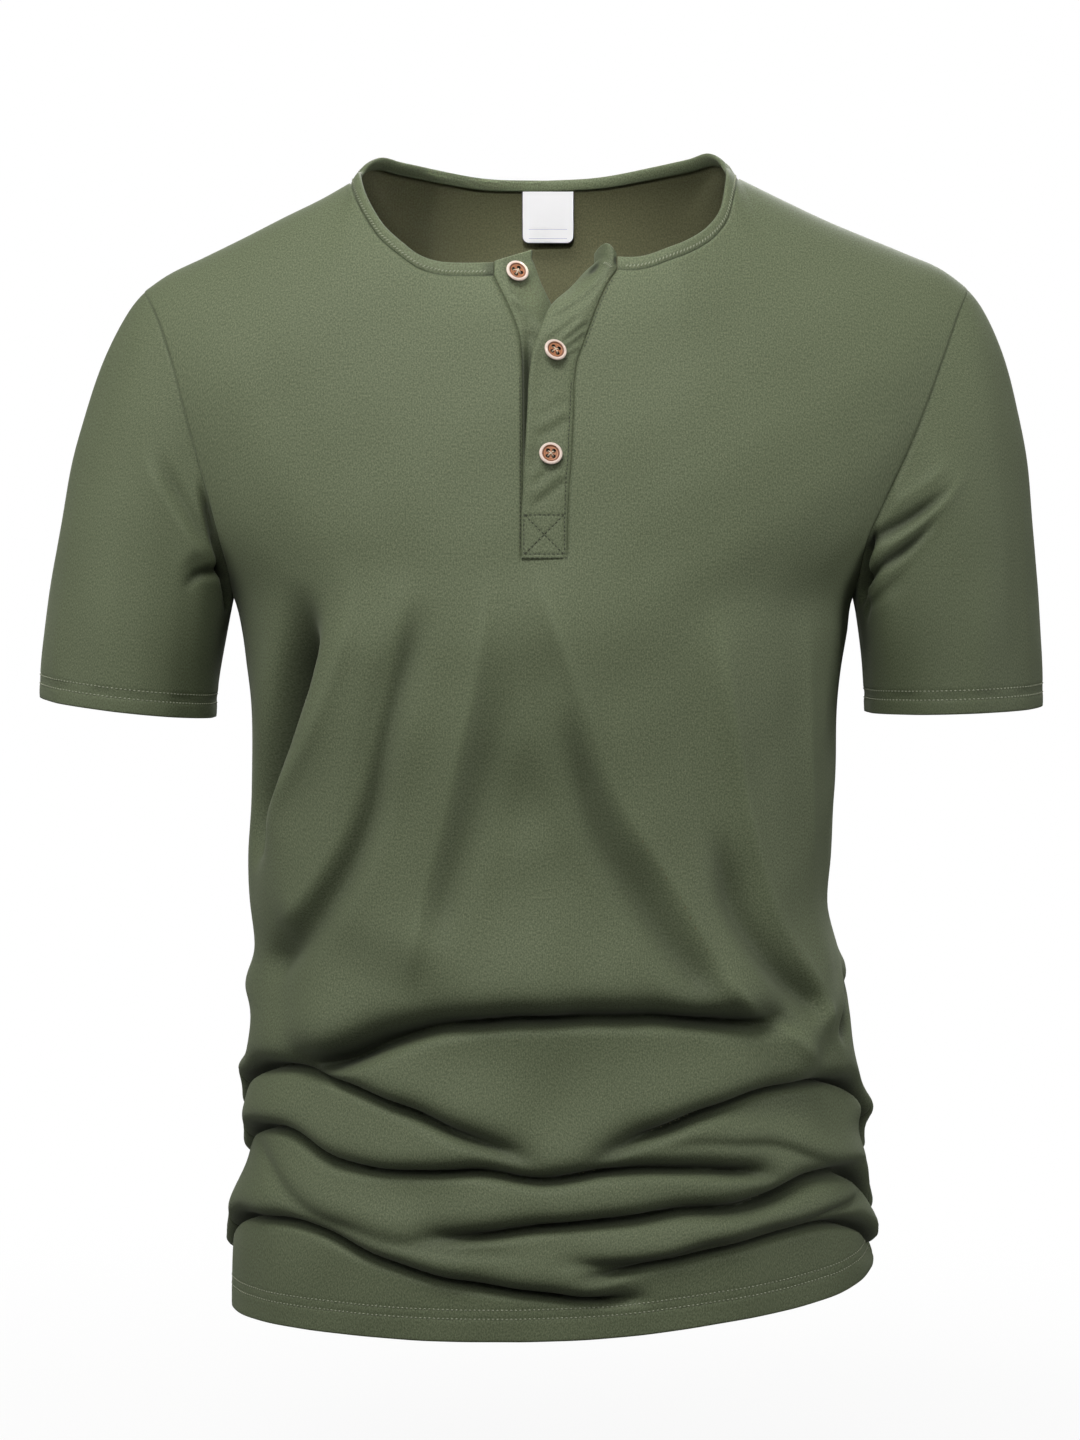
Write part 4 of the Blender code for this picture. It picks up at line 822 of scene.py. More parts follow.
@dataclass
class Panels:
    """The front with its slot, and the back, joined along sides and shoulders."""

    form: BodyForm
    wall: float = 0.9
    hem_wall: float = 1.7
    hem_depth: float = 19.0
    hem_rows: int = 24
    bunch_top: float = -436.0
    bunch_rows: int = 120
    waist_rows: int = 40
    chest_rows: int = 52
    slot_rows: int = 7
    slot_bottom: float = -214.0
    columns: int = 82
    seam_columns: tuple = (3.6, 2.2, 1.3, 0.6, 0.0)
    inner_columns: tuple = (0.0, 0.6, 1.3, 2.3)
    slot_columns: int = 12
    back_columns: int = 90
    neck_share: float = 0.5
    top_bunching: float = 1.6
    spread: float = 95.0
    spread_share: float = 0.5
    tip_reach: float = 34.0
    seam_shade: float = 0.35

    def across(self, columns: int, inner: tuple = (0.0,)) -> Array:
        """Parts of the way from a panel's inner edge to its seam, closer together at both."""
        length = self.form.side_seam
        start, fine = np.array(inner) / length, 1 - np.array(self.seam_columns) / length
        return np.concatenate([start[:-1], np.linspace(start[-1], fine[0], columns - len(fine) + 2)[:-1], fine])

    def fractions(self) -> Array:
        """Rows from the underarm to the top, closer together where the shoulder rounds over."""
        slot = (self.slot_bottom - self.form.underarm) / (NECKS[Face.FRONT, Side.RIGHT][0][1] - self.form.underarm)
        low = np.linspace(0, slot, self.slot_rows + 1)
        high = 1 - (1 - np.linspace(0, 1, self.chest_rows + 1)) ** self.top_bunching
        return np.concatenate([low[:-1], slot + (1 - slot) * high])

    def even_parts(self, points: Sequence, face: Face, shares: Array) -> Array:
        """Parts of a line at these shares of its length over the form."""
        parts = np.linspace(0, 1, 241)
        x, z = along_line(points, parts).T
        run = run_along(self.form.place(x, z, face)[0])
        return np.interp(shares * run[-1], run, parts)

    def half_chest(self, face: Face, side: Side, shares: Array) -> tuple:
        """The upper half of a panel on one side.

        Args:
            face: front or back.
            side: the wearer's side.
            shares: parts of the way from the inner edge to the armhole.

        Returns:
            The (x, z) grid from its inner edge out, and each column's place around the body.
        """
        form, sign = self.form, side.value
        name = side.name.lower()
        neck = NECKS[face, side]
        fractions = self.fractions()
        tip_x = sign * ARMHOLE.columns[name][-1]
        tip_z = float(form.ridge("z", np.array(tip_x)))
        inner_z = form.underarm + (neck[0][1] - form.underarm) * fractions
        inner_x = SLOT.at(name, inner_z) if face is Face.FRONT else np.zeros_like(inner_z)
        inner = pile(inner_x, inner_z)
        outer_z = form.underarm + (tip_z - form.underarm) * fractions
        outer = pile(sign * ARMHOLE.at(name, outer_z), outer_z)
        turn = int(np.argmin(np.abs(shares - self.neck_share)))
        neck_part = along_line(neck, self.even_parts(neck, face, shares[:turn + 1] / shares[turn]))
        beyond = (shares[turn + 1:] - shares[turn]) / (1 - shares[turn])
        ridge_x = neck[-1][0] + (tip_x - neck[-1][0]) * beyond
        top = np.concatenate([neck_part, pile(ridge_x, form.ridge("z", ridge_x))])
        start = (abs(inner_x[0]) / abs(outer[0, 0])) ** (form.power / 2)
        first = np.interp(math.asin(start), form.angle, form.length)
        around = first + (form.side_seam - first) * shares
        share = np.sin(np.interp(around, form.length, form.angle)) ** (2 / form.power)
        bottom = pile(sign * abs(outer[0, 0]) * share, np.full(len(shares), form.underarm))
        u = shares[None, :, None]
        v = fractions[:, None, None]
        sideways = (1 - u) * inner[:, None] + u * outer[:, None]
        upward = (1 - v) * bottom[None] + v * top[None]
        corners = (1 - u) * ((1 - v) * inner[0] + v * inner[-1]) + u * ((1 - v) * outer[0] + v * outer[-1])
        flat = sideways + upward - corners
        if face is Face.FRONT:
            below = np.clip((1 - fractions) / self.spread_share, 0, 1)[:, None]
            flat[..., 0] += sign * self.spread * np.sin(math.pi * u[..., 0]) * below * (1 - below) ** 2
        return flat, around

    def half_below(self, face: Face, side: Side, around: Array, levels: Array) -> Array:
        """(x, z) of a panel's lower half on one side.

        Args:
            face: front or back.
            side: the wearer's side.
            around: each column's way around.
            levels: height of each row.

        Returns:
            The grid from the inner edge out.
        """
        form = self.form
        share = np.sin(np.interp(around, form.length, form.angle)) ** (2 / form.power)
        whole_way = np.minimum(around if face is Face.FRONT else 2 * form.side_seam - around, HEM_HALF_WAY)
        hem = HEM_LINE.at("z", side.value * whole_way)[None]
        near_hem = ease(1 - (levels - form.hem) / form.hem_blend)[:, None]
        z = levels[:, None] + near_hem * (hem - form.hem)
        return pile(side.value * share[None] * LEVELS.at(side.name.lower(), z), z)

    def lay_out(self, face: Face, shares: Array) -> tuple:
        """A whole panel's grid from the hem up, with the slot's columns in the front.

        Args:
            face: front or back.
            shares: parts of the way from the inner edge to the seam.

        Returns:
            The points, how far along the cloth each lies, and the shade painted at each.
        """
        form = self.form
        hem_top = form.hem + self.hem_depth + 4
        levels = np.concatenate([
            np.linspace(form.hem, hem_top, self.hem_rows + 1)[:-1],
            np.linspace(hem_top, self.bunch_top, self.bunch_rows + 1)[:-1],
            np.linspace(self.bunch_top, form.underarm, self.waist_rows + 1)[:-1],
        ])
        self.chest_row, self.slot_row = len(levels), len(levels) + self.slot_rows
        halves = {}
        for side in Side:
            chest, around = self.half_chest(face, side, shares)
            halves[side] = np.concatenate([self.half_below(face, side, around, levels), chest])
        right, left = halves[Side.RIGHT][:, ::-1], halves[Side.LEFT]
        if face is Face.FRONT:
            part = np.linspace(0, 1, self.slot_columns + 1)[1:-1][None, :, None]
            between = right[:, -1:] * (1 - part) + left[:, :1] * part
            flat = np.concatenate([right, between, left], axis=1)
        else:
            flat = np.concatenate([right, left[:, 1:]], axis=1)
        x, z = flat[..., 0], flat[..., 1]
        points, hollow = self.form.place(x, z, face)
        return self.dip_seams(points, hollow, face), self.form.on_cloth(x, z), hollow

    def dip_seams(self, points: Array, hollow: Array, face: Face) -> Array:
        """Sinks the cloth along its seams at the sides, armholes, shoulders, neck, slot and hem rows, and paints shade
        along them.

        Args:
            points: the panel's grid.
            hollow: the shade painted at each point, to which the shade painted along the seams is added.
            face: front or back.

        Returns:
            The sunk grid.
        """
        sign = face.value
        held = points.copy()
        held[..., 1] = sign * np.maximum(sign * held[..., 1], 0)
        grid = held if face is Face.FRONT else held[:, ::-1]
        surface = Surface(grid)
        run = run_along(np.swapaxes(grid, 0, 1)).T
        from_right, from_left = run, run[:, -1:] - run
        up = run_along(grid)
        from_top = up[-1:] - up
        at_tip = 1 - 0.7 * ease(1 - from_top / self.tip_reach)
        dip = edge_dip(np.minimum(from_right, from_left)) * at_tip
        dip = np.maximum(dip, edge_dip(from_top))
        if face is Face.FRONT:
            row, right = self.slot_row, (grid.shape[1] - self.slot_columns - 1) // 2
            for edge in (right, right + self.slot_columns):
                near = edge_dip(run[row:] - run[row:, edge:edge + 1])
                dip[row:] = np.maximum(dip[row:], near)
        for height in HEM_STITCH_ROWS:
            dip += edge_dip(up - height, 0.28, 0.65)
        # Painted shade along the seams and hem rows, as strong as their dip.
        hollow += (dip if face is Face.FRONT else dip[:, ::-1]) * self.seam_shade
        dip -= 0.12 * ease(up / 2) * ease((HEM_STITCH_ROWS[0] - up) / 3)
        sunk = grid - dip[..., None] * surface.out
        return sunk if face is Face.FRONT else sunk[:, ::-1]

    def build(self) -> None:
        """Makes both panels' points and joins them at the seams."""
        front_shares, back_shares = self.across(self.columns, self.inner_columns), self.across(self.back_columns)
        front, self.front_x, self.front_painted_shade = self.lay_out(Face.FRONT, front_shares)
        back, self.back_x, self.back_painted_shade = self.lay_out(Face.BACK, back_shares)
        self.neck_front = int(np.argmin(np.abs(front_shares - self.neck_share)))
        self.neck_back = int(np.argmin(np.abs(back_shares - self.neck_share)))
        below = self.chest_row + 1
        for edge in (0, -1):
            joined = (front[:below, edge] + back[:below, edge]) / 2
            joined[:, 1] = 0.0
            front[:below, edge] = back[:below, edge] = joined
        self.join_shoulders(front, back, front_shares, back_shares)
        self.front, self.back = front, back
        half = len(front_shares) - 1
        self.slot_right, self.slot_left = half, half + self.slot_columns

    def join_shoulders(self, front: Array, back: Array, front_shares: Array, back_shares: Array) -> None:
        """Moves the back's top edge on to the front's, from each neck corner to the armhole.

        Args:
            front: the front's points.
            back: the back's points, which move.
            front_shares: the front's columns.
            back_shares: the back's columns.
        """
        for turn in (1, -1):
            lead = front[-1, ::turn][:len(front_shares) - self.neck_front]
            follow = back[-1, ::turn][:len(back_shares) - self.neck_back]
            lead_run, follow_run = run_along(lead), run_along(follow)
            at = follow_run / follow_run[-1] * lead_run[-1]
            follow[:] = points_at(at, lead_run, lead)

    def inner_side(self, grid: Array, face: Face) -> Array:
        """The inner side of a panel's wall, thicker in the turned hem.

        Args:
            grid: the outer points.
            face: front or back.

        Returns:
            The inner points.
        """
        up = run_along(grid)
        thick = self.wall + (self.hem_wall - self.wall) * ease((self.hem_depth + 2 - up) / 3)
        inner = grid - thick[..., None] * normals(grid)
        inner[..., 1] = face.value * np.maximum(face.value * inner[..., 1], 0)
        return inner

    def dress(self, outside: Material, inside: Material) -> list:
        """Makes the two panels' objects.

        Args:
            outside: the right side's material.
            inside: the wrong side's material.

        Returns:
            The front and the back.
        """
        made = []
        for node, face, *layers in (
            ("front", Face.FRONT, self.front, self.front_x, self.front_painted_shade),
            ("back", Face.BACK, self.back, self.back_x, self.back_painted_shade),
        ):
            missing = None
            grid, cloth_x, hollow = (layer[:, ::-face.value] for layer in layers)
            up = run_along(grid)
            uv = pile(cloth_x, up - up[self.chest_row:self.chest_row + 1]) * MM
            if face is Face.FRONT:
                missing = np.zeros((grid.shape[0] - 1, grid.shape[1] - 1), bool)
                missing[self.slot_row:, self.slot_right:self.slot_left] = True
            inner = self.inner_side(grid, face)
            obj = cloth_object(node + "_panel", grid, inner, uv, (outside, inside), missing=missing, hollow=hollow)
            made.append(settle(obj, node))
        return made

    def armhole(self, side: Side) -> Array:
        """The armhole seam as a closed ring, from the shoulder down the front and up the back."""
        edge = 0 if side is Side.RIGHT else -1
        down = self.front[self.chest_row:, edge][::-1]
        up = self.back[self.chest_row:, edge]
        return np.concatenate([down, up[1:-1]])


@dataclass
class Sleeve:
    """A short sleeve, from its armhole to its turned cuff."""

    side: Side
    cuff: Cuff
    folds: tuple
    # Shade painted over the sleeve below the armhole, at full strength from 110 mm down.
    painted_sleeve_shade: float
    wall: float = 0.9
    hem_wall: float = 1.7
    hem_depth: float = 15.5
    around_count: int = 168
    cad_slot_rows: int = 2
    cad_chest_rows: int = 11
    fold_start: float = 4.0
    underarm_share: float = 0.18

    def ring(self, panels: Panels) -> tuple:
        """The armhole's ring, evenly divided, and each point's turn from the shoulder.

        Args:
            panels: the panels it is sewn to.

        Returns:
            The points, their turns and the ring's length.
        """
        ring = panels.armhole(self.side)
        steps = np.linalg.norm(ring - np.roll(ring, 1, axis=0), axis=1)
        run = np.cumsum(steps) - steps[0]
        total = steps.sum()
        fine = panels.fractions()
        slot = fine[panels.slot_rows]
        high = 1 - (1 - np.linspace(0, 1, self.cad_chest_rows + 1)) ** panels.top_bunching
        coarse = np.concatenate([
            np.linspace(0, slot, self.cad_slot_rows + 1)[:-1], slot + (1 - slot) * high,
        ])
        rank = np.interp(fine, coarse, np.arange(len(coarse))) / (len(coarse) - 1)
        index = np.concatenate([1 - rank[::-1], 1 + rank[1:-1]]) * math.pi
        turn = (index + 2 * math.pi * run / total) / 2
        even = np.linspace(0, total, self.around_count, endpoint=False)
        run_closed = np.append(run, total)
        closed = np.concatenate([ring, ring[:1]])
        return points_at(even, run_closed, closed), np.interp(even, run_closed, np.append(turn, 2 * math.pi)), total

    def build(self, panels: Panels) -> None:
        """Makes the sleeve's outer points; rows run from the cuff up to the armhole.

        Args:
            panels: the panels it is sewn to.
        """
        sign = self.side.value
        ring, turn, total = self.ring(panels)
        at_top, at_bottom = np.clip(np.cos(turn), 0, 1), np.clip(-np.cos(turn), 0, 1)
        outward, fall, reach = (pile(at_top, 1 - at_top - at_bottom, at_bottom) @ np.array(PULLS)).T
        leave = unit(pile(sign * outward, np.zeros(len(ring)), -fall))
        reach = reach[:, None]
        end = pile(self.cuff.x + sign * self.cuff.half_width * np.cos(turn),
            -self.cuff.half_depth * np.sin(turn),
            self.cuff.z + self.cuff.drop / 2 * np.cos(turn))
        enter = np.array([sign * CUFF_LEAN, 0, -1.0])
        steps = np.concatenate([
            [0, 0.003, 0.007, 0.013, 0.021], np.linspace(0.03, 0.87, 76), np.linspace(0.88, 1, 22),
        ])
        grid = np.array([
            (2 * t**3 - 3 * t**2 + 1) * ring + (t**3 - 2 * t**2 + t) * leave * reach
            + (3 * t**2 - 2 * t**3) * end + (t**3 - t**2) * enter * reach
            for t in steps
        ])
        down = run_along(grid)
        around = np.where(turn > math.pi, 1, -1) * total / 2 * (1 - np.abs(turn / math.pi - 1))
        wide = np.broadcast_to(around, down.shape)
        relief, _, hollow = fold_relief(wide, down, self.folds, total)
        relief = relief * ease(down / self.fold_start)
        from_underarm = np.abs(turn / math.pi - 1)
        relief = np.where(relief > 0, relief * ease(from_underarm / self.underarm_share - 1), relief)
        for order, (pitch, lean, size) in enumerate(RIPPLES):
            wave = (wide * math.cos(lean) + down * math.sin(lean)) * 2 * math.pi / pitch + order
            relief += 0.3 * size * np.sin(wave) * ease(down / 20)
        at_tip = 1 - 0.7 * ease((np.cos(turn) - 0.75) / 0.25)
        dip = edge_dip(down) * at_tip
        relief -= dip * ease(down / 0.8)
        # Painted shade along the armhole seam, and the sleeve's own painted shade below it.
        hollow += dip * panels.seam_shade + self.painted_sleeve_shade * ease(down / 110)
        up = down[-1:] - down
        between = sum(CUFF_STITCH_ROWS) / 2
        pucker = edge_dip(up - between, 0.6, 2.2) * (0.5 + 0.5 * np.sin(wide / 7.5) * np.sin(wide / 31 + 1))
        relief -= pucker
        # Painted shade in the pucker between the cuff's stitch rows.
        hollow += 0.45 * pucker
        for height in CUFF_STITCH_ROWS:
            relief -= edge_dip(up - height, 0.28, 0.65)
        relief += 0.12 * ease(up / 2) * ease((CUFF_STITCH_ROWS[0] - up) / 3)
        out = -normals(grid[:, ::-sign], closed=True)[:, ::-sign]
        grid = grid + relief[..., None] * out
        grid[0] = ring
        grid, self.hollow = grid[::-1, ::-sign], hollow[::-1, ::-sign]
        self.surface = Surface(grid, closed=True)
        up = run_along(grid)
        width = np.linspace(0, 1, grid.shape[1] + 1)[None] * total
        self.uv = pile(np.broadcast_to(width, (len(grid), width.size)), np.concatenate([up, up[:, :1]], axis=1)) * MM
        self.up = up

    def dress(self, outside: Material, inside: Material) -> Object:
        """Makes the sleeve's object with its right and wrong sides.

        Args:
            outside: the right side's material.
            inside: the wrong side's material.

        Returns:
            The sleeve.
        """
        thick = self.wall + (self.hem_wall - self.wall) * ease((self.hem_depth + 2 - self.up) / 3)
        thick[-1] *= 0.4
        inner = self.surface.points - thick[..., None] * self.surface.out
        name = "sleeve_" + self.side.name.lower()
        obj = cloth_object(
            name + "_cloth", self.surface.points, inner, self.uv, (outside, inside), closed=True, hollow=self.hollow,
        )
        return settle(obj, name)


@dataclass
class Neckband:
    """The folded band round the neck, from one placket to the other."""

    wall: float = 2.2
    crown: float = 0.5
    foot_shade: tuple = ((0.8,), (0.25,))
    end_reach: float = 9.0

    def ring(self, panels: Panels) -> Array:
        """The neck seam, from the slot's right edge round the back to its left.

        Args:
            panels: the panels it is sewn to.

        Returns:
            The seam's points.
        """
        front, back = panels.front[-1], panels.back[-1]
        right = front[panels.slot_right - panels.neck_front:panels.slot_right + 1][::-1]
        left = front[panels.slot_left:panels.slot_left + panels.neck_front + 1][::-1]
        middle = len(back) // 2
        behind = back[middle - panels.neck_back:middle + panels.neck_back + 1]
        return np.concatenate([right[:-1], behind, left[1:]])

    def build(self, panels: Panels) -> None:
        """Makes the band's section at each point of the neck seam.

        Args:
            panels: the panels it is sewn to.
        """
        rough = self.ring(panels)
        run = run_along(rough)
        count = int(run[-1] / 1.6)
        at = np.linspace(0, run[-1], count)
        ring = points_at(at, run, rough)
        for _ in range(3):
            ring[1:-1] = ring[1:-1] / 2 + (ring[:-2] + ring[2:]) / 4
        part = np.linspace(0, 1, count)
        along = np.gradient(ring, axis=0)
        for _ in range(10):
            along[1:-1] = along[1:-1] / 2 + (along[:-2] + along[2:]) / 4
        inward = unit(pile(along[:, 1], -along[:, 0], np.zeros(count)))
        rise = inward * BAND.at("inward", part)[:, None]
        rise[:, 2] += BAND.at("up", part)
        rise = unit(rise)
        height = BAND.at("height", part)[:, None]
        inward = unit(np.cross(along, rise))
        sections = []
        for up, inside in BAND_SECTION:
            swell = self.crown * math.sin(math.pi * min(max(up, 0), 1)) * (-1 if inside < 0.5 else 1)
            sections.append(ring + rise * (height * up) + inward * (self.wall * inside + swell))
        self.grid = np.array(sections)
        self.length = run[-1]
        self.ring_points, self.rise, self.inward, self.height = ring, rise, inward, height
        self.top_ends = (ring[0] + rise[0] * height[0], ring[-1] + rise[-1] * height[-1])
        middle = count // 2
        self.foot_behind = ring[middle] + inward[middle] * self.wall

    def outer_line(self, share: float) -> tuple:
        """A line along the band's outer side, at this share of its height, with its normals."""
        swell = self.crown * math.sin(math.pi * share)
        line = self.ring_points + self.rise * (self.height * share) - self.inward * swell
        return line, -self.inward

    def dress(self, finish: Material) -> Object:
        """Makes the band's object, closed at both ends.

        Args:
            finish: its material.

        Returns:
            The band.
        """
        grid = self.grid[:, ::-1]
        loop, count = grid.shape[:2]
        points = grid.reshape(-1, 3) * MM
        index = np.arange(loop * count).reshape(loop, count)
        faces = cells(np.concatenate([index, index[:1]])).reshape(-1, 4).tolist()
        faces += [index[:, 0].tolist(), index[::-1, -1].tolist()]
        around = run_along(np.concatenate([self.grid[:, 0], self.grid[:1, 0]]))
        width = np.linspace(0, self.length, count)
        uv = cells(pile(*np.meshgrid(width, around))).reshape(-1)
        mesh = bpy.data.meshes.new("neckband_cloth")
        mesh.from_pydata(points, [], faces)
        layer = mesh.uv_layers.new(name="cloth")
        layer.data.foreach_set("uv", np.append(uv * MM, np.zeros(4 * loop)).astype(np.float32))
        # Painted shade: a thin dark line along the band's foot, and a shade near one end of the band by the placket.
        seam = np.zeros((loop, count))
        seam[:2] = self.foot_shade
        seam += 0.7 * ease(1 - (self.length - width) / self.end_reach)
        mark_painted_shade(mesh, seam.reshape(-1))
        build = bmesh.new()
        build.from_mesh(mesh)
        bmesh.ops.recalc_face_normals(build, faces=build.faces[:])
        build.to_mesh(mesh)
        build.free()
        mesh.update()
        paint(mesh, finish, 70.0)
        return settle(put("neckband_cloth", mesh), "neckband")


@dataclass
class Plackets:
    """Both placket strips, sewn to the slot and open at the top."""

    wall: float = 1.2
    turn: float = 1.6
    foot: float = 2.0
    columns: int = 44
    rows: int = 220
    flatten: float = 0.72
    press: float = 0.7
    gape: float = 3.4
    stand_off: float = 1.3
    edge_shade: float = 0.35
    pressed: dict = field(default_factory=dict)
    painted_shades: dict = field(default_factory=dict)

    def shares(self) -> Array:
        """Parts of the way across a strip, closer together at both edges."""
        share = np.linspace(0, 1, self.columns + 1)
        return share - 0.055 * np.sin(2 * math.pi * share)

    def strip(self, seam: Array, table: Table) -> Array:
        """Grid of a strip from its seam edge to its free edge.

        Args:
            seam: points of the seam edge.
            table: the strip's shape.

        Returns:
            The grid.
        """
        z = seam[:, 2]
        share = self.shares()[None, :]
        across, back, up, bow, peak, lift = (
            table.at(name, z)[:, None] for name in ("across", "back", "up", "bow", "peak", "lift")
        )
        middle = 4 * share * (1 - share)
        lift = lift * self.flatten * (0.35 + 0.65 * ease(share / 0.16))
        x = seam[:, :1] + across * share
        y = seam[:, 1:2] + back * share**self.turn - bow * middle - lift
        z = seam[:, 2:] + up * share + peak * middle
        return pile(x, y, z)

    def build(self, panels: Panels, band: Neckband) -> None:
        """Makes both strips' points, topped at the band's top.

        Args:
            panels: the panels with the slot.
            band: the band they reach up to.
        """
        row = panels.slot_row
        self.surfaces = {}
        for name, edge, turn, table, top in (
            ("under", panels.slot_right, 1, PLACKET_UNDER, band.top_ends[0]),
            ("over", panels.slot_left, -1, PLACKET_OVER, band.top_ends[1]),
        ):
            seam = panels.front[row:, edge]
            part = np.linspace(0, 1, 7)[1:, None]
            seam = np.concatenate([seam, seam[-1] * (1 - part) + top * part])
            step = unit(panels.front[row - 1, edge] - seam[0])
            if name == "over":
                seam = np.concatenate([[seam[0] + step * self.foot, seam[0] + step * self.foot / 2], seam])
            run = run_along(seam)
            at = np.linspace(0, run[-1], self.rows)
            seam = points_at(at, run, seam)
            self.surfaces[name] = Surface(self.crumple(self.strip(seam, table)[:, ::turn], name))

    def crumple(self, grid: Array, name: str) -> Array:
        """Adds the strip's own small creases, its pressed edges and the gape beside it, and the shade painted on it.

        Args:
            grid: the strip's points.
            name: under or over.

        Returns:
            The points with their creases.
        """
        place = np.broadcast_to(self.shares()[None, :] * 25.0, grid.shape[:2])
        z = grid[..., 2]
        relief, _, hollow = fold_relief(place, z, PLACKET_CREASES[name])
        edge = np.minimum(place, 25.0 - place)
        gape = ease((-88 - z) / 26) * ease((z + 178) / 30)
        press = edge_dip(edge, self.press, 0.75)
        if name == "under":
            relief -= self.gape * gape * np.exp(-(((place - 4.2) / 2.4) ** 2))
            # Painted shade in the narrow gap where the lower strip shows beside the upper one.
            hollow += gape * (1 - ease((place - 5.0) / 3.0))
        else:
            relief += self.stand_off * gape * np.exp(-((place / 5.0) ** 2))
            press = np.maximum(press, edge_dip(z - z.min(), self.press, 0.9))
            middle, half = (BOX_ENDS[0] + BOX_ENDS[1]) / 2, (BOX_ENDS[1] - BOX_ENDS[0]) / 2
            within = ease((half + 0.4 - np.abs(place - middle)) / 0.8)
            part = (z - sum(BOX_ROWS) / 2) * 2 / (BOX_ROWS[0] - BOX_ROWS[1])
            sewn = edge_dip(z - BOX_ROWS[0], 0.40, 0.55) + edge_dip(z - BOX_ROWS[1], 0.40, 0.55)
            for lean in (-1, 1):
                sewn += edge_dip((place - middle - lean * part * half) * 0.7, 0.34, 0.55) * ease((1 - np.abs(part)) * 8)
            relief -= sewn * within
            # Painted shade in the grooves of the box stitches, and over the top of the strip where it curls.
            hollow += 0.6 * sewn * within + 0.3 * ease((z + 68) / 14)
            for across, height, wide, tall in BUTTONHOLE_ENDS:
                end = np.exp(-(((place - across) / wide) ** 2) - ((z - height) / tall) ** 2)
                relief -= 0.8 * end
                # Painted shade at each end of the empty buttonhole.
                hollow += 1.6 * end
        self.pressed[name] = press
        # Painted shade along both edges of the strip.
        self.painted_shades[name] = hollow + self.edge_shade * edge_dip(edge, 1.0, 0.5)
        return grid + (relief - press)[..., None] * normals(grid)

    def dress(self, finish: Material) -> list:
        """Makes both strips' objects.

        Args:
            finish: their material.

        Returns:
            Both strips.
        """
        made = []
        for name, surface in self.surfaces.items():
            inner = surface.points - (self.wall - self.pressed[name])[..., None] * surface.out
            run = run_along(np.swapaxes(surface.points, 0, 1)).T
            uv = pile(run, run_along(surface.points)) * MM
            obj = cloth_object(
                f"placket_{name}_cloth", surface.points, inner, uv, (finish,), rounding=0.3, hollow=self.painted_shades[name],
            )
            made.append(settle(obj, "placket_" + name))
        return made


@dataclass
class NeckLabel:
    """A blank satin label hanging inside the back."""

    centre: float = 1.2
    width: float = 30.0
    height: float = 29.0
    corner: float = 4.0
    lean: float = 0.42
    forward: float = 1.3
    wall: float = 0.7
    columns: int = 60
    rows: int = 40

    def dress(self, band: Neckband, finish: Material, edge: Material) -> Object:
        """Makes the label under the band's foot, slightly cupped.

        Args:
            band: the band it hangs from.
            finish: its face's material.
            edge: its back's material.

        Returns:
            The label.
        """
        top = band.foot_behind - np.array([0, self.forward, 0.3])
        across = self.width * (np.linspace(-0.5, 0.5, self.columns + 1))
        down = self.height * np.linspace(1, 0, self.rows + 1)[:, None]
        from_corner = np.clip(self.corner - (self.width / 2 - np.abs(across)), 0, self.corner)
        cut = self.corner - np.sqrt(self.corner**2 - from_corner**2)
        shorter = np.minimum(down, self.height - cut)
        x = self.centre + across + np.zeros_like(down)
        cup = 0.35 * np.sin(across / self.width * 5.0 + 0.6) * (shorter / self.height)
        y = top[1] + self.lean * shorter + cup - 0.5
        grid = pile(x, y, top[2] - shorter)
        uv = pile(across + np.zeros_like(down), -shorter) * MM
        inner = grid + np.array([0, self.wall, 0])
        obj = cloth_object("neck_label_satin", grid, inner, uv, (finish, edge))
        return settle(obj, "neck_label")


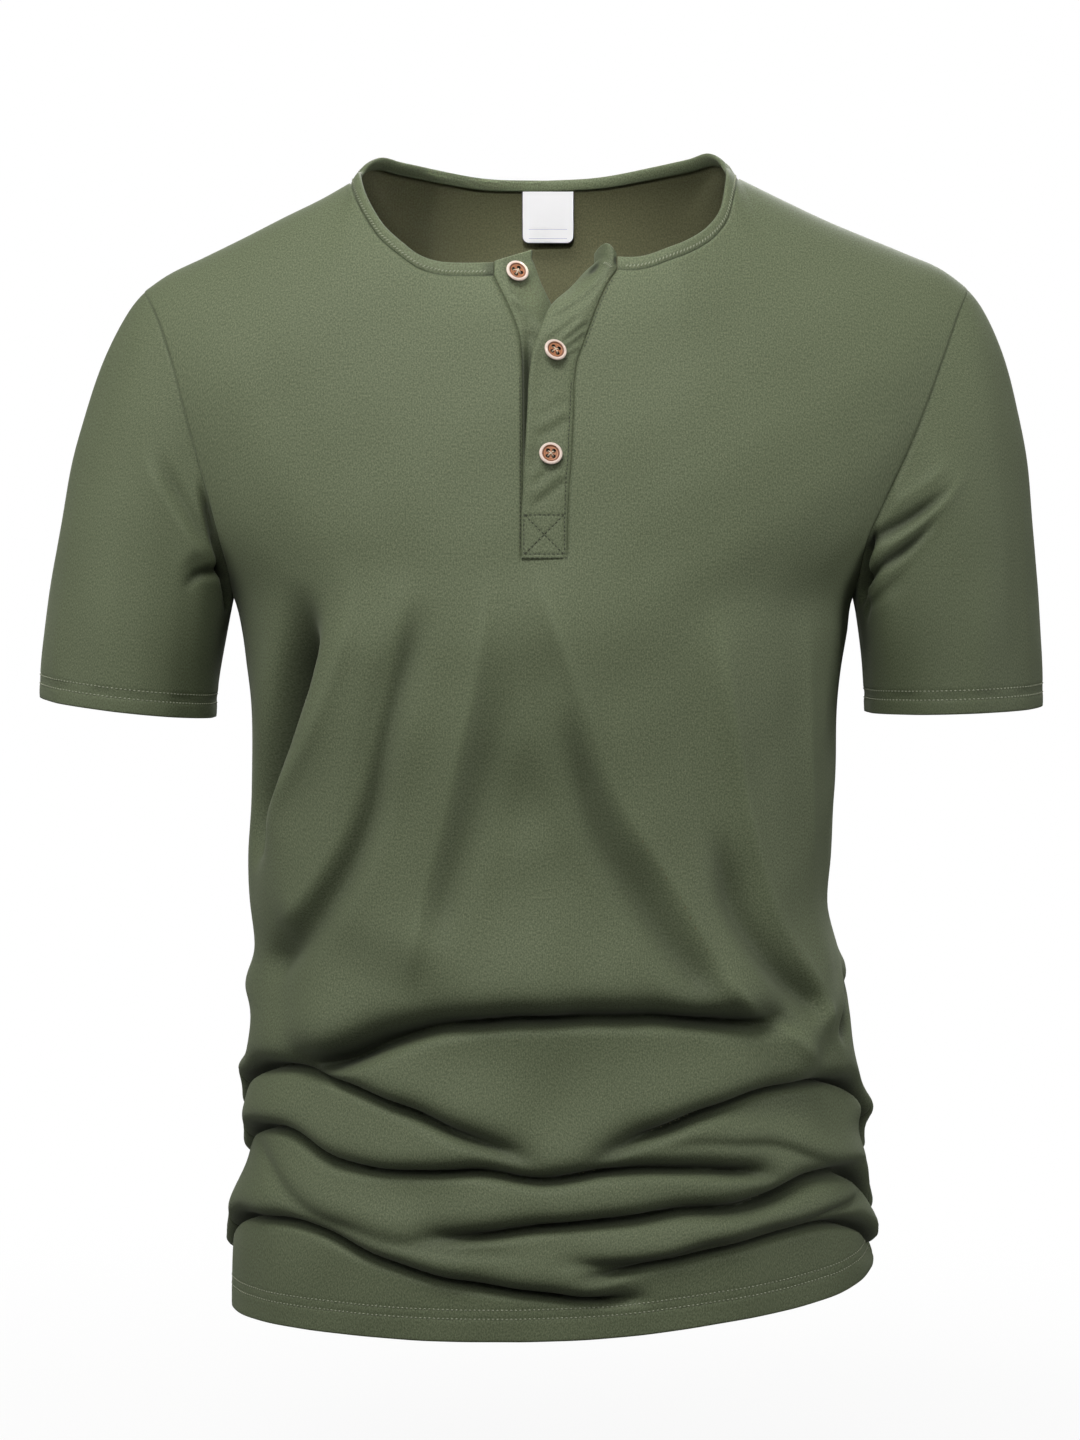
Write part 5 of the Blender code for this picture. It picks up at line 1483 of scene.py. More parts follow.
@dataclass
class Buttons:
    """Four-hole buttons with a pale rim and a dished middle, sewn on with thread."""

    diameter: float = 12.8
    thickness: float = 2.6
    hole: float = 2.1
    pitch: float = 3.3
    lift: float = 0.6
    sides: int = 56
    thread: float = 0.36

    def frame_at(self, surface: Surface, place: ButtonPlace) -> Matrix:
        """Where a button lies: its middle and directions on its strip.

        Args:
            surface: the strip.
            place: where the button sits on it.

        Returns:
            The button's matrix.
        """
        middle = surface.points[:, surface.points.shape[1] // 2, 2]
        row = np.interp(place.z, middle, np.arange(len(middle)))
        share = place.across if place.strip == "under" else 1 - place.across
        col = share * (surface.points.shape[1] - 1)
        centre, out = surface.at(np.array([row]), np.array([col]))
        above, _ = surface.at(np.array([row + 3]), np.array([col]))
        out = Vector(out[0])
        up = Vector(above[0] - centre[0])
        right = up.cross(out).normalized()
        up = out.cross(right)
        turn = Matrix((right, up, out)).transposed().to_4x4()
        lean = Matrix.Rotation(math.radians(-place.lean), 4, Vector((1, -1, 0)))
        lift = self.lift + 0.35 * self.diameter * math.sin(math.radians(place.lean))
        return Matrix.Translation((Vector(centre[0]) + out * lift) * MM) @ turn @ lean

    def blank(self, name: str) -> Object:
        """A turned button at the origin, before its holes, in metres.

        Args:
            name: the object's name.

        Returns:
            The object, in the scene.
        """
        build = bmesh.new()
        rings = []
        for radius, height in BUTTON_SECTION:
            radius, height = radius * self.diameter / 2, height * self.thickness
            angles = [2 * math.pi * k / self.sides for k in range(self.sides if radius else 1)]
            rings.append([
                build.verts.new((radius * math.cos(a) * MM, radius * math.sin(a) * MM, height * MM)) for a in angles
            ])
        skin(build, rings)
        return put(name, finish_mesh(name, build))

    def drilled(self, name: str) -> Mesh:
        """The button's mesh with its four thread holes, at the origin.

        Args:
            name: the blank's name.

        Returns:
            The mesh.
        """
        blank = self.blank(name)
        build = bmesh.new()
        for across in (-0.5, 0.5):
            for up in (-0.5, 0.5):
                place = Vector((across * self.pitch, up * self.pitch, self.thickness / 2)) * MM
                bmesh.ops.create_cone(
                    build, cap_ends=True, segments=20, radius1=self.hole / 2 * MM, radius2=self.hole / 2 * MM,
                    depth=2 * self.thickness * MM, matrix=Matrix.Translation(place),
                )
        cutter = put(name + "_holes", finish_mesh(name + "_holes", build))
        cut = blank.modifiers.new("holes", "BOOLEAN")
        cut.object, cut.operation = cutter, "DIFFERENCE"
        mesh = plain_mesh(blank)
        bpy.data.objects.remove(blank)
        bpy.data.objects.remove(cutter)
        return mesh

    def sew(self, place: Matrix, name: str, finish: Material) -> Object:
        """Crossed threads over a button's holes.

        Args:
            place: the button's matrix.
            name: the object's name.
            finish: the thread's material.

        Returns:
            The threads.
        """
        build = bmesh.new()
        for lean in (1, -1):
            line = []
            for t in np.linspace(-1, 1, 13):
                rise = 1.05 - 1.9 * abs(t) ** 3
                line.append(Vector((
                    t * self.pitch / 2, lean * t * self.pitch / 2, self.thickness * 0.62 + rise * (0.9 + 0.15 * lean),
                )))
            for shift in (-0.17, 0.17):
                side = Vector((-lean, 1, 0)).normalized() * shift
                rings = []
                for k, point in enumerate(line):
                    ahead = (line[min(k + 1, 12)] - line[max(k - 1, 0)]).normalized()
                    wide = Vector((0, 0, 1)).cross(ahead).normalized()
                    tall = ahead.cross(wide)
                    turns = np.arange(8) * math.pi / 4
                    strand = [(wide * math.cos(a) + tall * math.sin(a)) * self.thread / 2 for a in turns]
                    rings.append([build.verts.new((point + side + spoke) * MM) for spoke in strand])
                skin(build, rings)
                build.faces.new(rings[0][::-1])
                build.faces.new(rings[-1])
        bmesh.ops.recalc_face_normals(build, faces=build.faces[:])
        build.transform(place)
        mesh = finish_mesh(name, build)
        paint(mesh, finish)
        return settle(put(name, mesh), None)

    def dress(self, strips: Plackets, wood: Material, thread: Material) -> list:
        """Makes the three buttons and their threads.

        Args:
            strips: the placket strips.
            wood: the buttons' material.
            thread: the threads' material.

        Returns:
            The buttons and threads.
        """
        made = []
        for place in BUTTON_PLACES:
            where = self.frame_at(strips.surfaces[place.strip], place)
            mesh = self.drilled(place.name + "_turned")
            local = np.array([vert.co for vert in mesh.vertices])
            spot = mesh.attributes.new("disc", "FLOAT_VECTOR", "POINT")
            spot.data.foreach_set("vector", (local / MM).astype(np.float32).reshape(-1))
            mesh.transform(where)
            paint(mesh, wood, 35.0)
            mesh.name = place.name + "_turned"
            made.append(settle(put(place.name + "_turned", mesh), place.name))
            made.append(self.sew(where, place.name + "_thread", thread))
        return made


def operator(operation: str, swapped: bool = False) -> Callable:
    """A method that adds a Math node on a socket and another value.

    Args:
        operation: the node's operation.
        swapped: True for the reflected form.

    Returns:
        The method.
    """
    def method(wire: "Wire", other: object = 0.0) -> "Wire":
        """One Math node."""
        values = {0: other, 1: wire} if swapped else {0: wire, 1: other}
        return Wire(wire.graph, wire.graph.add("ShaderNodeMath", values, operation=operation).outputs[0])

    return method


class Wire:
    """A node socket whose arithmetic adds Math nodes."""

    __add__, __radd__ = operator("ADD"), operator("ADD", True)
    __sub__, __rsub__ = operator("SUBTRACT"), operator("SUBTRACT", True)
    __mul__, __rmul__ = operator("MULTIPLY"), operator("MULTIPLY", True)
    __truediv__, __pow__ = operator("DIVIDE"), operator("POWER")
    sine, size = operator("SINE"), operator("ABSOLUTE")
    most, least = operator("MAXIMUM"), operator("MINIMUM")

    def __init__(self, graph: "Graph", socket: NodeSocket) -> None:
        """Wraps a socket of a graph."""
        self.graph = graph
        self.socket = socket

    def step(self, low: float, high: float) -> "Wire":
        """A smooth step from 0 at low to 1 at high."""
        range_of = {"Value": self, "From Min": low, "From Max": high, "To Min": 0.0, "To Max": 1.0}
        node = self.graph.add("ShaderNodeMapRange", range_of, interpolation_type="SMOOTHSTEP")
        return Wire(self.graph, node.outputs["Result"])


class Graph:
    """The node graph of a material, of the world or of a shape."""

    def __init__(self, tree: bpy.types.NodeTree) -> None:
        """Empties a node tree and works on it."""
        self.tree = tree
        tree.nodes.clear()

    def add(self, kind: str, sockets: Optional[dict] = None, **settings: object) -> Node:
        """Adds a node.

        Args:
            kind: the node's type.
            sockets: a value, a link or a node's first output for each socket, by name or number.
            settings: its own settings, set first.

        Returns:
            The node.
        """
        node = self.tree.nodes.new(kind)
        for name, value in settings.items():
            setattr(node, name, value)
        for name, value in (sockets or {}).items():
            if isinstance(value, Wire):
                value = value.socket
            elif isinstance(value, Node):
                value = value.outputs[0]
            if isinstance(value, NodeSocket):
                self.tree.links.new(value, node.inputs[name])
            else:
                node.inputs[name].default_value = value
        return node

    def mix(self, factor: object, low: object, high: object) -> NodeSocket:
        """A colour between two colours, given as links or as red, green and blue."""
        low, high = ((*colour, 1.0) if isinstance(colour, tuple) else colour for colour in (low, high))
        return self.add("ShaderNodeMix", {0: factor, 6: low, 7: high}, data_type="RGBA").outputs[2]

    def noise(self, place: NodeSocket, scale: Sequence, detail: float = 2.0, rough: float = 0.5) -> Wire:
        """Noise over a scaled place."""
        mapped = self.add("ShaderNodeMapping", {"Vector": place, "Scale": scale})
        values = {"Vector": mapped, "Scale": 1.0, "Detail": detail, "Roughness": rough}
        return Wire(self, self.add("ShaderNodeTexNoise", values).outputs[0])

    def split(self, place: NodeSocket) -> list:
        """The three parts of a place."""
        return [Wire(self, part) for part in self.add("ShaderNodeSeparateXYZ", {0: place}).outputs]

    def surface(self, bump: tuple, sockets: dict) -> None:
        """Joins a Principled shader to the output.

        Args:
            bump: its strength, its depth in millimetres and its height.
            sockets: values and links of the shader.
        """
        strength, depth, height = bump
        normal = self.add("ShaderNodeBump", {"Strength": strength, "Distance": depth * MM, "Height": height})
        shader = self.add("ShaderNodeBsdfPrincipled", {**sockets, "Normal": normal})
        self.add("ShaderNodeOutputMaterial", {"Surface": shader})


def new_material(name: str) -> tuple:
    """A material and its empty graph."""
    made = bpy.data.materials.new(name)
    made.use_nodes = True
    return made, Graph(made.node_tree)


def dimmed(colour: tuple, share: float) -> tuple:
    """A colour at a share of its strength."""
    return tuple(share * part for part in colour)


@dataclass(frozen=True)
class JerseyFinish:
    """Soft melange knit: fine wales, mottled yarns, a low sheen, painted shade in each crease, seam and gap, and a
    painted highlight on crisp crests.
    """

    name: str
    deep: tuple = (0.088, 0.108, 0.056)
    pale: tuple = (0.190, 0.228, 0.132)
    fleck: tuple = (0.30, 0.31, 0.20)
    shadow: tuple = (0.012, 0.015, 0.008)
    wale: float = 0.95
    relief: float = 0.10

    def build(self) -> Material:
        """Makes the material."""
        made, graph = new_material(self.name)
        cloth = graph.add("ShaderNodeUVMap", uv_map="cloth").outputs[0]
        streaks = graph.noise(cloth, (1200.0, 820.0, 1.0), 2.0, 0.6)
        mottle = graph.noise(cloth, (640.0, 520.0, 1.0), 2.0, 0.55)
        cloud = graph.noise(cloth, (26.0, 22.0, 1.0), 2.0, 0.5)
        flecks = graph.noise(cloth, (1100.0, 900.0, 1.0), 1.0, 0.5).step(0.64, 0.74)
        shade = (streaks * 0.83 + mottle * 0.14 + cloud * 0.03).step(0.27, 0.73)
        colour = graph.mix(shade, self.deep, self.pale)
        colour = graph.mix(flecks * 0.42, colour, self.fleck)
        # Painted shade and highlight: the per-point shade darkens the colour towards shadow, and where it is negative a
        # painted highlight lightens it towards pale.
        hollow = Wire(graph, graph.add("ShaderNodeAttribute", attribute_name="hollow").outputs["Fac"])
        colour = graph.mix((hollow * 0.7).most(0.0).least(0.8), colour, self.shadow)
        colour = graph.mix((hollow * -0.45).most(0.0).least(0.4), colour, self.pale)
        across, along, _ = graph.split(cloth)
        pitch = 2 * math.pi / (self.wale * MM)
        wales = (across * pitch).sine() * 0.5 + 0.5
        loops = ((along * pitch * 1.25) + (across * pitch * 0.5).sine() * 1.2).sine() * 0.5 + 0.5
        graph.surface((0.5, self.relief, wales * 0.5 + loops * 0.2 + streaks * 0.5), {
            "Base Color": colour, "Roughness": 0.66, "Specular IOR Level": 0.35, "Sheen Weight": 0.18,
            "Sheen Roughness": 0.45, "Sheen Tint": (0.80, 0.86, 0.70, 1.0),
        })
        return made


@dataclass(frozen=True)
class ThreadFinish:
    """Spun sewing thread with a fine twist."""

    name: str
    colour: tuple

    def build(self) -> Material:
        """Makes the material."""
        made, graph = new_material(self.name)
        place = graph.add("ShaderNodeTexCoord").outputs["Object"]
        twist = graph.noise(place, (2600.0, 2600.0, 2600.0), 2.0, 0.6)
        colour = graph.mix(twist.step(0.3, 0.7), dimmed(self.colour, 0.72), self.colour)
        graph.surface((0.4, 0.06, twist), {
            "Base Color": colour, "Roughness": 0.6, "Specular IOR Level": 0.4, "Sheen Weight": 0.2,
        })
        return made


@dataclass(frozen=True)
class SatinFinish:
    """White woven satin with faint rules near its foot and a dark line round its edge, glowing faintly as painted
    light.
    """

    name: str
    colour: tuple = (0.96, 0.96, 0.985)
    rule: tuple = (0.42, 0.42, 0.52)
    rules: tuple = (21.0, 26.3)
    rule_width: float = 0.28
    rule_reach: float = 11.5
    border: tuple = (0.03, 0.03, 0.055)
    border_at: tuple = (11.0, 25.0, 3.55)
    # Strength of the painted glow in the label's own colour, which keeps it white in the shade inside the neck.
    glow: float = 0.21

    def build(self) -> Material:
        """Makes the material."""
        made, graph = new_material(self.name)
        cloth = graph.add("ShaderNodeUVMap", uv_map="cloth").outputs[0]
        across, along, _ = graph.split(cloth)
        first, second = (
            1 - (along + down * MM).size().step(self.rule_width * MM * 0.5, self.rule_width * MM)
            for down in self.rules
        )
        inside = 1 - across.size().step((self.rule_reach - 0.3) * MM, self.rule_reach * MM)
        weave = graph.noise(cloth, (900.0, 5200.0, 1.0), 2.0, 0.5)
        soft = graph.noise(cloth, (90.0, 90.0, 1.0), 2.0, 0.5)
        base = graph.mix((weave * 0.5 + soft * 0.5).step(0.3, 0.7), dimmed(self.colour, 0.90), self.colour)
        colour = graph.mix((first + second) * inside * 0.8, base, self.rule)
        corner_x, corner_y, reach = (size * MM for size in self.border_at)
        past_x, past_y = (across.size() - corner_x).most(0.0), (along * -1.0 - corner_y).most(0.0)
        border = ((past_x * past_x + past_y * past_y) ** 0.5).step(reach, reach + 0.2 * MM)
        colour = graph.mix(border, colour, self.border)
        # The emission is painted light: the label glows though it is no lamp.
        graph.surface((0.3, 0.05, weave), {
            "Base Color": colour, "Roughness": 0.42, "Specular IOR Level": 0.45, "Sheen Weight": 0.1,
            "Emission Color": colour, "Emission Strength": self.glow,
        })
        return made


@dataclass(frozen=True)
class WoodFinish:
    """Reddish-brown button wood with a pale rim and growth lines in the dish, with painted shade on its side and in its
    holes.
    """

    name: str
    dish: tuple = (0.56, 0.23, 0.105)
    # Dark brown of the dish's groove, and of the button's side, where it also stands in part for painted shade.
    dark: tuple = (0.075, 0.022, 0.012)
    rim: tuple = (0.93, 0.76, 0.67)
    # Near-black painted in and round the thread holes as their shade.
    hole: tuple = (0.006, 0.0015, 0.001)
    radius: float = 6.4
    hole_place: float = 1.65
    hole_edge: float = 1.08

    def build(self) -> Material:
        """Makes the material."""
        made, graph = new_material(self.name)
        disc = graph.add("ShaderNodeAttribute", attribute_name="disc").outputs["Vector"]
        x, y, h = graph.split(disc)
        away = (x * x + y * y) ** 0.5 / self.radius
        grain = graph.noise(disc, (0.55, 2.6, 1.0), 3.0, 0.6)
        rings = ((away * 34.0) + grain * 3.0).sine() * 0.5 + 0.5
        height = grain * 0.6 + rings * 0.4
        brown = graph.mix(height.step(0.25, 0.75), dimmed(self.dish, 0.62), self.dish)
        groove = away.step(0.60, 0.68) * (1 - away.step(0.70, 0.755))
        brown = graph.mix(groove * 0.8, brown, self.dark)
        pale = graph.mix(grain.step(0.35, 0.7), dimmed(self.rim, 0.90), self.rim)
        # The side and back turn dark brown, partly the wood and partly painted shade round the button.
        brown = graph.mix(away.step(0.84, 0.90), brown, self.dark)
        colour = graph.mix(away.step(0.735, 0.775) * h.step(1.55, 1.95), brown, pale)
        off_x, off_y = x.size() - self.hole_place, y.size() - self.hole_place
        to_hole = (off_x * off_x + off_y * off_y) ** 0.5
        # Painted shade: near-black in and round each thread hole.
        colour = graph.mix(to_hole.step(self.hole_edge, self.hole_edge + 0.12), self.hole, colour)
        graph.surface((0.35, 0.05, height), {
            "Base Color": colour, "Roughness": 0.42 + grain * 0.16, "Specular IOR Level": 0.5,
            "Coat Weight": 0.15, "Coat Roughness": 0.3,
        })
        return made


@dataclass(frozen=True)
class StitchRow:
    """Sizes of one kind of stitch."""

    pitch: float
    length: float
    width: float
    slant: float = 0.0
    unevenness: float = 0.05
    seed: int = 1


class StitchTree:
    """Geometry nodes that lay short stitches along paths on the cloth."""

    def __init__(self) -> None:
        """Makes the node tree with its named inputs."""
        self.tree = tree = bpy.data.node_groups.new("stitches_along_path", "GeometryNodeTree")
        self.inputs = []
        for label, kind in (
            ("Path", "Geometry"), ("Pitch", "Float"), ("Stitch Length", "Float"), ("Thread Width", "Float"),
            ("Slant", "Float"), ("Unevenness", "Float"), ("Seed", "Int"), ("Thread", "Material"),
        ):
            socket = tree.interface.new_socket(label, in_out="INPUT", socket_type="NodeSocket" + kind)
            self.inputs.append(socket.identifier)
        tree.interface.new_socket("Stitches", in_out="OUTPUT", socket_type="NodeSocketGeometry")
        graph = Graph(tree)
        add = graph.add
        given = add("NodeGroupInput").outputs
        path = add("GeometryNodeMeshToCurve", {0: given["Path"]})
        spaced = add("GeometryNodeResampleCurve", {"Curve": path, "Length": given["Pitch"]}, mode="LENGTH")
        bead = add("GeometryNodeMeshUVSphere", {"Segments": 8, "Rings": 5, "Radius": 0.5})
        width = Wire(graph, given["Thread Width"])
        size = add("ShaderNodeCombineXYZ", {0: given["Stitch Length"], 1: width, 2: width * 0.8})
        stitch = add("GeometryNodeTransform", {"Geometry": bead, "Scale": size})
        tangent = add("GeometryNodeInputTangent")
        out = add("GeometryNodeInputNamedAttribute", {"Name": "out"}, data_type="FLOAT_VECTOR")
        ahead = add("FunctionNodeAlignRotationToVector", {"Vector": tangent}, axis="X")
        spin = {"Rotation": ahead, "Vector": out}
        upright = add("FunctionNodeAlignRotationToVector", spin, axis="Z", pivot_axis="X")
        uneven = Wire(graph, given["Unevenness"])
        spread = {2: uneven * -1.0, 3: uneven, "Seed": given["Seed"]}
        wobble = add("FunctionNodeRandomValue", spread, data_type="FLOAT")
        turn = add("ShaderNodeCombineXYZ", {2: Wire(graph, wobble.outputs[1]) + given["Slant"]})
        turned = add("FunctionNodeRotateRotation", {0: upright, 1: turn}, rotation_space="LOCAL")
        laid = add("GeometryNodeInstanceOnPoints", {"Points": spaced, "Instance": stitch, "Rotation": turned})
        real = add("GeometryNodeRealizeInstances", {0: laid})
        smooth = add("GeometryNodeSetShadeSmooth", {0: real})
        dressed = add("GeometryNodeSetMaterial", {"Geometry": smooth, "Material": given["Thread"]})
        add("NodeGroupOutput", {0: dressed})

    def sew(self, name: str, paths: Sequence, row: StitchRow, thread: Material) -> Object:
        """Lays a kind of stitch along paths.

        Args:
            name: the piece's name.
            paths: (points, normals) of each path, in millimetres.
            row: the stitch's sizes.
            thread: its material.

        Returns:
            A plain mesh object of all the stitches.
        """
        edges, start = [], 0
        for line, _ in paths:
            edges += [(k, k + 1) for k in range(start, start + len(line) - 1)]
            start += len(line)
        mesh = bpy.data.meshes.new(name + "_path")
        mesh.from_pydata(np.concatenate([line for line, _ in paths]) * MM, edges, [])
        layer = mesh.attributes.new("out", "FLOAT_VECTOR", "POINT")
        layer.data.foreach_set("vector", np.concatenate([out for _, out in paths]).astype(np.float32).reshape(-1))
        obj = put(name, mesh)
        nodes = obj.modifiers.new("stitches", "NODES")
        nodes.node_group = self.tree
        values = (row.pitch * MM, row.length * MM, row.width * MM, row.slant, row.unevenness, row.seed, thread)
        for label, value in zip(self.inputs[1:], values):
            nodes[label] = value
        made = plain_mesh(obj)
        obj.modifiers.remove(nodes)
        obj.data = made
        made.name = name
        if "out" in made.attributes:
            made.attributes.remove(made.attributes["out"])
        return obj


@dataclass
class Stitching:
    """Every visible row of thread on the shirt."""

    panels: Panels
    sleeves: Sequence
    band: Neckband
    strips: Plackets
    raise_by: float = 0.14
    lock: StitchRow = StitchRow(2.4, 1.7, 0.6, 0.0, 0.05, 3)
    cover: StitchRow = StitchRow(2.5, 1.35, 0.85, 0.0, 0.06, 5)
    slanted: StitchRow = StitchRow(2.1, 1.9, 0.7, 0.85, 0.08, 7)
    bar: StitchRow = StitchRow(0.95, 1.7, 0.5, 1.15, 0.12, 9)

    def lifted(self, line: Array, out: Array) -> tuple:
        """A path raised off the cloth."""
        return line + out * self.raise_by, out

    def edge_paths(self, surfaces: Sequence, heights: Sequence) -> list:
        """Rows of stitches at these heights over the edge of each surface, all round if it is closed.

        Args:
            surfaces: the cloth.
            heights: distances from its edge.

        Returns:
            The paths.
        """
        paths = []
        for surface in surfaces:
            for height in heights:
                rows = surface.rows_from_edge(height)
                rows = np.append(rows, rows[0]) if surface.closed else rows
                paths.append(self.lifted(*surface.at(rows, np.arange(len(rows), dtype=float))))
        return paths

    def band_paths(self) -> list:
        """The row that holds the neckband's fold."""
        line, out = self.band.outer_line(0.30)
        return [self.lifted(line[3:-3], out[3:-3])]

    def strip_line(self, *places: tuple) -> tuple:
        """A path on the upper strip through (distance across, height) places, from its right edge."""
        surface = self.strips.surfaces["over"]
        run = run_along(np.swapaxes(surface.points, 0, 1)).T
        heights = surface.points[:, surface.points.shape[1] // 2, 2]
        dense = []
        for (x0, z0), (x1, z1) in zip(places, places[1:]):
            count = max(2, int(math.hypot(x1 - x0, z1 - z0)))
            dense += [(x0 + (x1 - x0) * t, z0 + (z1 - z0) * t) for t in np.linspace(0, 1, count, endpoint=False)]
        dense.append(places[-1])
        rows = np.interp([z for _, z in dense], heights, np.arange(len(heights)))
        cols = [np.interp(x, run[int(round(row))], np.arange(run.shape[1])) for (x, _), row in zip(dense, rows)]
        return self.lifted(*surface.at(rows, np.array(cols)))

    def placket_paths(self) -> list:
        """Edge rows and the crossed box at the placket's foot."""
        (left, right), (top, foot) = BOX_ENDS, BOX_ROWS
        paths = [self.strip_line(*ends) for ends in (
            ((1.5, -213.0), (1.5, -192.5)), ((23.7, -213.0), (23.7, -120.0)), ((0.8, -215.5), (24.4, -215.5)),
            ((left, top), (right, top)), ((left, foot), (right, foot)),
            ((left, foot + 0.6), (right, top - 0.6)), ((left, top - 0.6), (right, foot + 0.6)),
        )]
        surface = Surface(self.panels.front)
        row = self.panels.slot_row
        run = run_along(np.swapaxes(self.panels.front, 0, 1)).T
        heights = self.panels.front[row:, self.panels.slot_right, 2]
        for edge, side, low, high in (
            (self.panels.slot_right, -1, -214.0, -116.0), (self.panels.slot_left, 1, -104.0, -66.0),
        ):
            rows = row + np.nonzero((heights > low) & (heights < high))[0]
            cols = [np.interp(run[r, edge] + side * 1.3, run[r], np.arange(run.shape[1])) for r in rows]
            paths.append(self.lifted(*surface.at(rows.astype(float), np.array(cols))))
        return paths

    def dress(self, thread: Material, dark: Material) -> list:
        """Sews every row, with the stitched side of the empty buttonhole.

        Args:
            thread: most rows' material.
            dark: the placket rows' material.

        Returns:
            The stitches.
        """
        tree = StitchTree()
        hem = self.edge_paths((Surface(self.panels.front), Surface(self.panels.back[:, ::-1])), HEM_STITCH_ROWS)
        cuffs = self.edge_paths([sleeve.surface for sleeve in self.sleeves], CUFF_STITCH_ROWS)
        buttonhole = [self.strip_line((18.6, -53.2), (21.0, -52.9), (23.4, -52.8))]
        plan = (
            ("stitches_hem", hem, self.cover, thread, "jersey"),
            ("stitches_cuffs", cuffs, self.cover, thread, "jersey"),
            ("stitches_neckband", self.band_paths(), self.slanted, thread, "band_jersey"),
            ("stitches_placket", self.placket_paths(), self.lock, dark, "placket_jersey"),
            ("stitches_buttonhole", buttonhole, self.bar, thread, "placket_jersey"),
        )
        return [settle(tree.sew(name, paths, row, stuff), None) for name, paths, row, stuff, slot in plan]


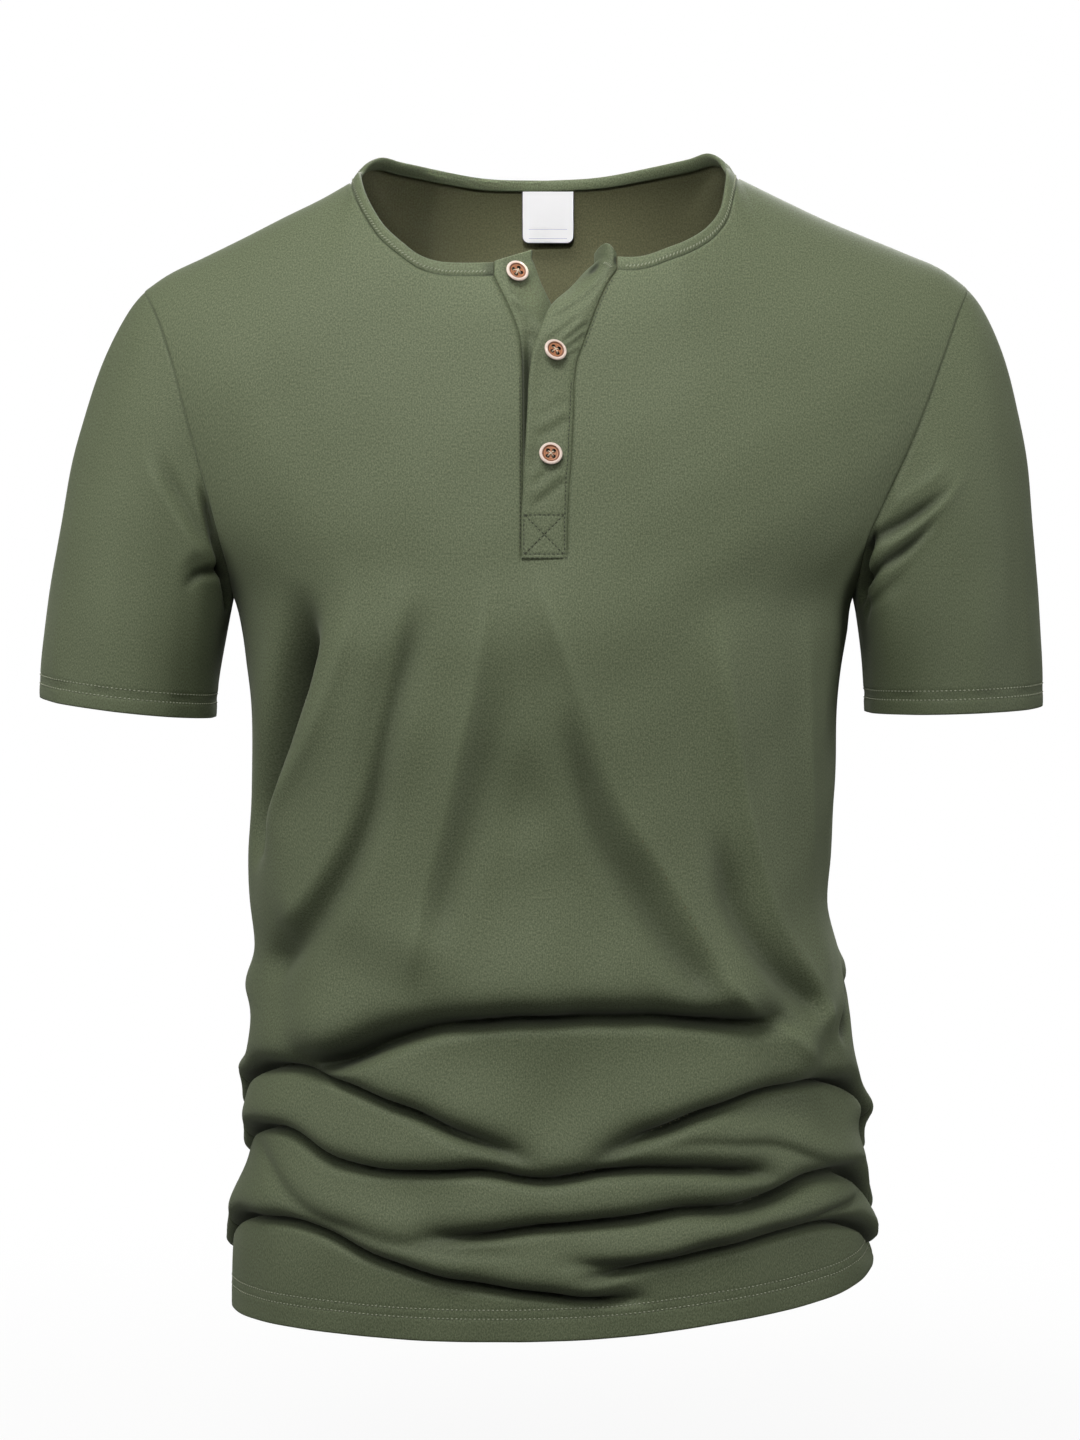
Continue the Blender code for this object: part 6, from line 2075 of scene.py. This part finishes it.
@dataclass
class Studio:
    """Pale floor, soft lights and the camera."""

    camera_at: tuple = (-0.00342, -2.4, -0.184)
    pitch_down: float = 2.991
    lens: float = 105.41
    floor_z: float = -0.80
    floor_size: float = 14.0

    def floor(self) -> None:
        """A plain pale floor that fades into the backdrop."""
        half = self.floor_size / 2
        mesh = bpy.data.meshes.new("studio_floor")
        corners = [(x, y, self.floor_z) for x, y in ((-half, -half), (half, -half), (half, half), (-half, half))]
        mesh.from_pydata(corners, [], [(0, 1, 2, 3)])
        floor = put("studio_floor", mesh)
        made, graph = new_material("floor_paper")
        x, y, _ = graph.split(graph.add("ShaderNodeTexCoord").outputs["Object"])
        paper = graph.add("ShaderNodeBsdfPrincipled", {
            "Base Color": (0.92, 0.92, 0.92, 1.0), "Roughness": 0.9, "Specular IOR Level": 0.1,
        })
        glow = graph.add("ShaderNodeEmission", {"Color": (1.0, 1.0, 1.0, 1.0), "Strength": 1.0})
        share = ((x * x + y * y) ** 0.5).step(0.3, 1.3) * 0.15 + 0.85
        mixed = graph.add("ShaderNodeMixShader", {0: share, 1: paper, 2: glow})
        graph.add("ShaderNodeOutputMaterial", {"Surface": mixed})
        floor.data.materials.append(made)
        floor.visible_diffuse = False
        floor.visible_glossy = False

    def light(
        self, name: str, place: tuple, aim: tuple, size: tuple, power: float, colour: tuple, spread: float = 180.0,
    ) -> None:
        """One soft rectangular light, whose beam may be narrowed to a spread in degrees.

        Args:
            name: its name.
            place: where it stands.
            aim: what it points at.
            size: width and height.
            power: watts.
            colour: its colour.
            spread: the beam's angle.
        """
        data = bpy.data.lights.new(name, "AREA")
        data.shape = "RECTANGLE"
        data.size, data.size_y = size
        data.energy = power
        data.color = colour
        data.spread = math.radians(spread)
        obj = put(name, data)
        obj.location = place
        obj.rotation_euler = (Vector(aim) - Vector(place)).to_track_quat("-Z", "Y").to_euler()

    def backdrop(self) -> None:
        """Even surround light, seen as plain white."""
        world = bpy.data.worlds.new("studio_white")
        world.use_nodes = True
        bpy.context.scene.world = world
        graph = Graph(world.node_tree)
        seen = graph.add("ShaderNodeLightPath").outputs["Is Camera Ray"]
        soft = graph.add("ShaderNodeBackground", {"Color": (1.0, 0.99, 0.96, 1.0), "Strength": 0.055})
        white = graph.add("ShaderNodeBackground", {"Color": (1.0, 1.0, 1.0, 1.0), "Strength": 1.0})
        mixed = graph.add("ShaderNodeMixShader", {0: seen, 1: soft, 2: white})
        graph.add("ShaderNodeOutputWorld", {"Surface": mixed})

    def build(self) -> None:
        """Sets up the whole studio."""
        self.floor()
        self.backdrop()
        warm, soft, plain = (1.0, 0.99, 0.97), (1.0, 0.99, 0.98), (1.0, 1.0, 1.0)
        self.light("key_wide", (-0.36, -1.10, 1.20), (0.0, -0.05, -0.30), (1.1, 0.6), 21.0, warm)
        self.light("front_soft", (-0.25, -2.2, 0.45), (0.0, 0.0, -0.15), (0.5, 0.5), 7.0, warm)
        self.light("fill_right", (1.7, -0.7, 0.0), (0.0, 0.0, -0.35), (0.9, 1.2), 9.5, soft)
        self.light("fill_left", (-1.7, -0.7, 0.0), (0.0, 0.0, -0.35), (0.9, 1.2), 7.0, soft)
        self.light("top_soft", (0.0, 0.25, 1.6), (0.0, 0.0, -0.2), (1.6, 1.0), 6.0, plain)
        self.light("back_soft", (0.4, 2.0, 1.1), (0.0, 0.0, -0.3), (1.6, 1.2), 40.0, plain)
        self.light("neck_beam", (0.0, -1.6, 0.55), (0.0, 0.07, -0.035), (0.10, 0.05), 0.035, warm, 8.0)
        data = bpy.data.cameras.new("camera")
        data.lens = self.lens
        data.sensor_width = 36.0
        data.clip_start, data.clip_end = 0.05, 60.0
        camera = put("camera", data)
        camera.location = self.camera_at
        camera.rotation_euler = (math.radians(90 - self.pitch_down), 0, 0)
        bpy.context.scene.camera = camera
        bpy.context.scene.view_settings.view_transform = "Standard"


def main() -> None:
    """Builds the shirt in order, then the studio."""
    logging.basicConfig(level=logging.INFO, format="%(name)s: %(message)s")
    jersey = JerseyFinish("green_jersey").build()
    inside = JerseyFinish(
        "green_jersey_inside", deep=(0.098, 0.098, 0.048), pale=(0.180, 0.182, 0.098), fleck=(0.25, 0.25, 0.15),
    ).build()
    band_finish = JerseyFinish("green_neckband").build()
    strip_finish = JerseyFinish("green_placket").build()
    satin = SatinFinish("white_satin").build()
    satin_edge = ThreadFinish("label_edge", (0.12, 0.12, 0.16)).build()
    wood = WoodFinish("button_wood_turned").build()
    thread = ThreadFinish("green_thread", (0.38, 0.41, 0.29)).build()
    dark_thread = ThreadFinish("green_thread_deep", (0.050, 0.060, 0.032)).build()
    pale_thread = ThreadFinish("khaki_thread", (0.95, 0.80, 0.62)).build()
    panels = Panels(BodyForm())
    panels.build()
    made = panels.dress(jersey, inside)
    # Each sleeve's last number is the shade painted over it below the armhole.
    sleeves = [
        Sleeve(Side.RIGHT, CUFF_RIGHT, SLEEVE_FOLDS_RIGHT, 0.03), Sleeve(Side.LEFT, CUFF_LEFT, SLEEVE_FOLDS_LEFT, 0.26),
    ]
    for sleeve in sleeves:
        sleeve.build(panels)
        made.append(sleeve.dress(jersey, inside))
    band = Neckband()
    band.build(panels)
    made.append(band.dress(band_finish))
    strips = Plackets()
    strips.build(panels, band)
    made += strips.dress(strip_finish)
    made.append(NeckLabel().dress(band, satin, satin_edge))
    made += Buttons().dress(strips, wood, pale_thread)
    made += Stitching(panels, sleeves, band, strips).dress(thread, dark_thread)
    Studio().build()


if __name__ == "__main__":
    main()
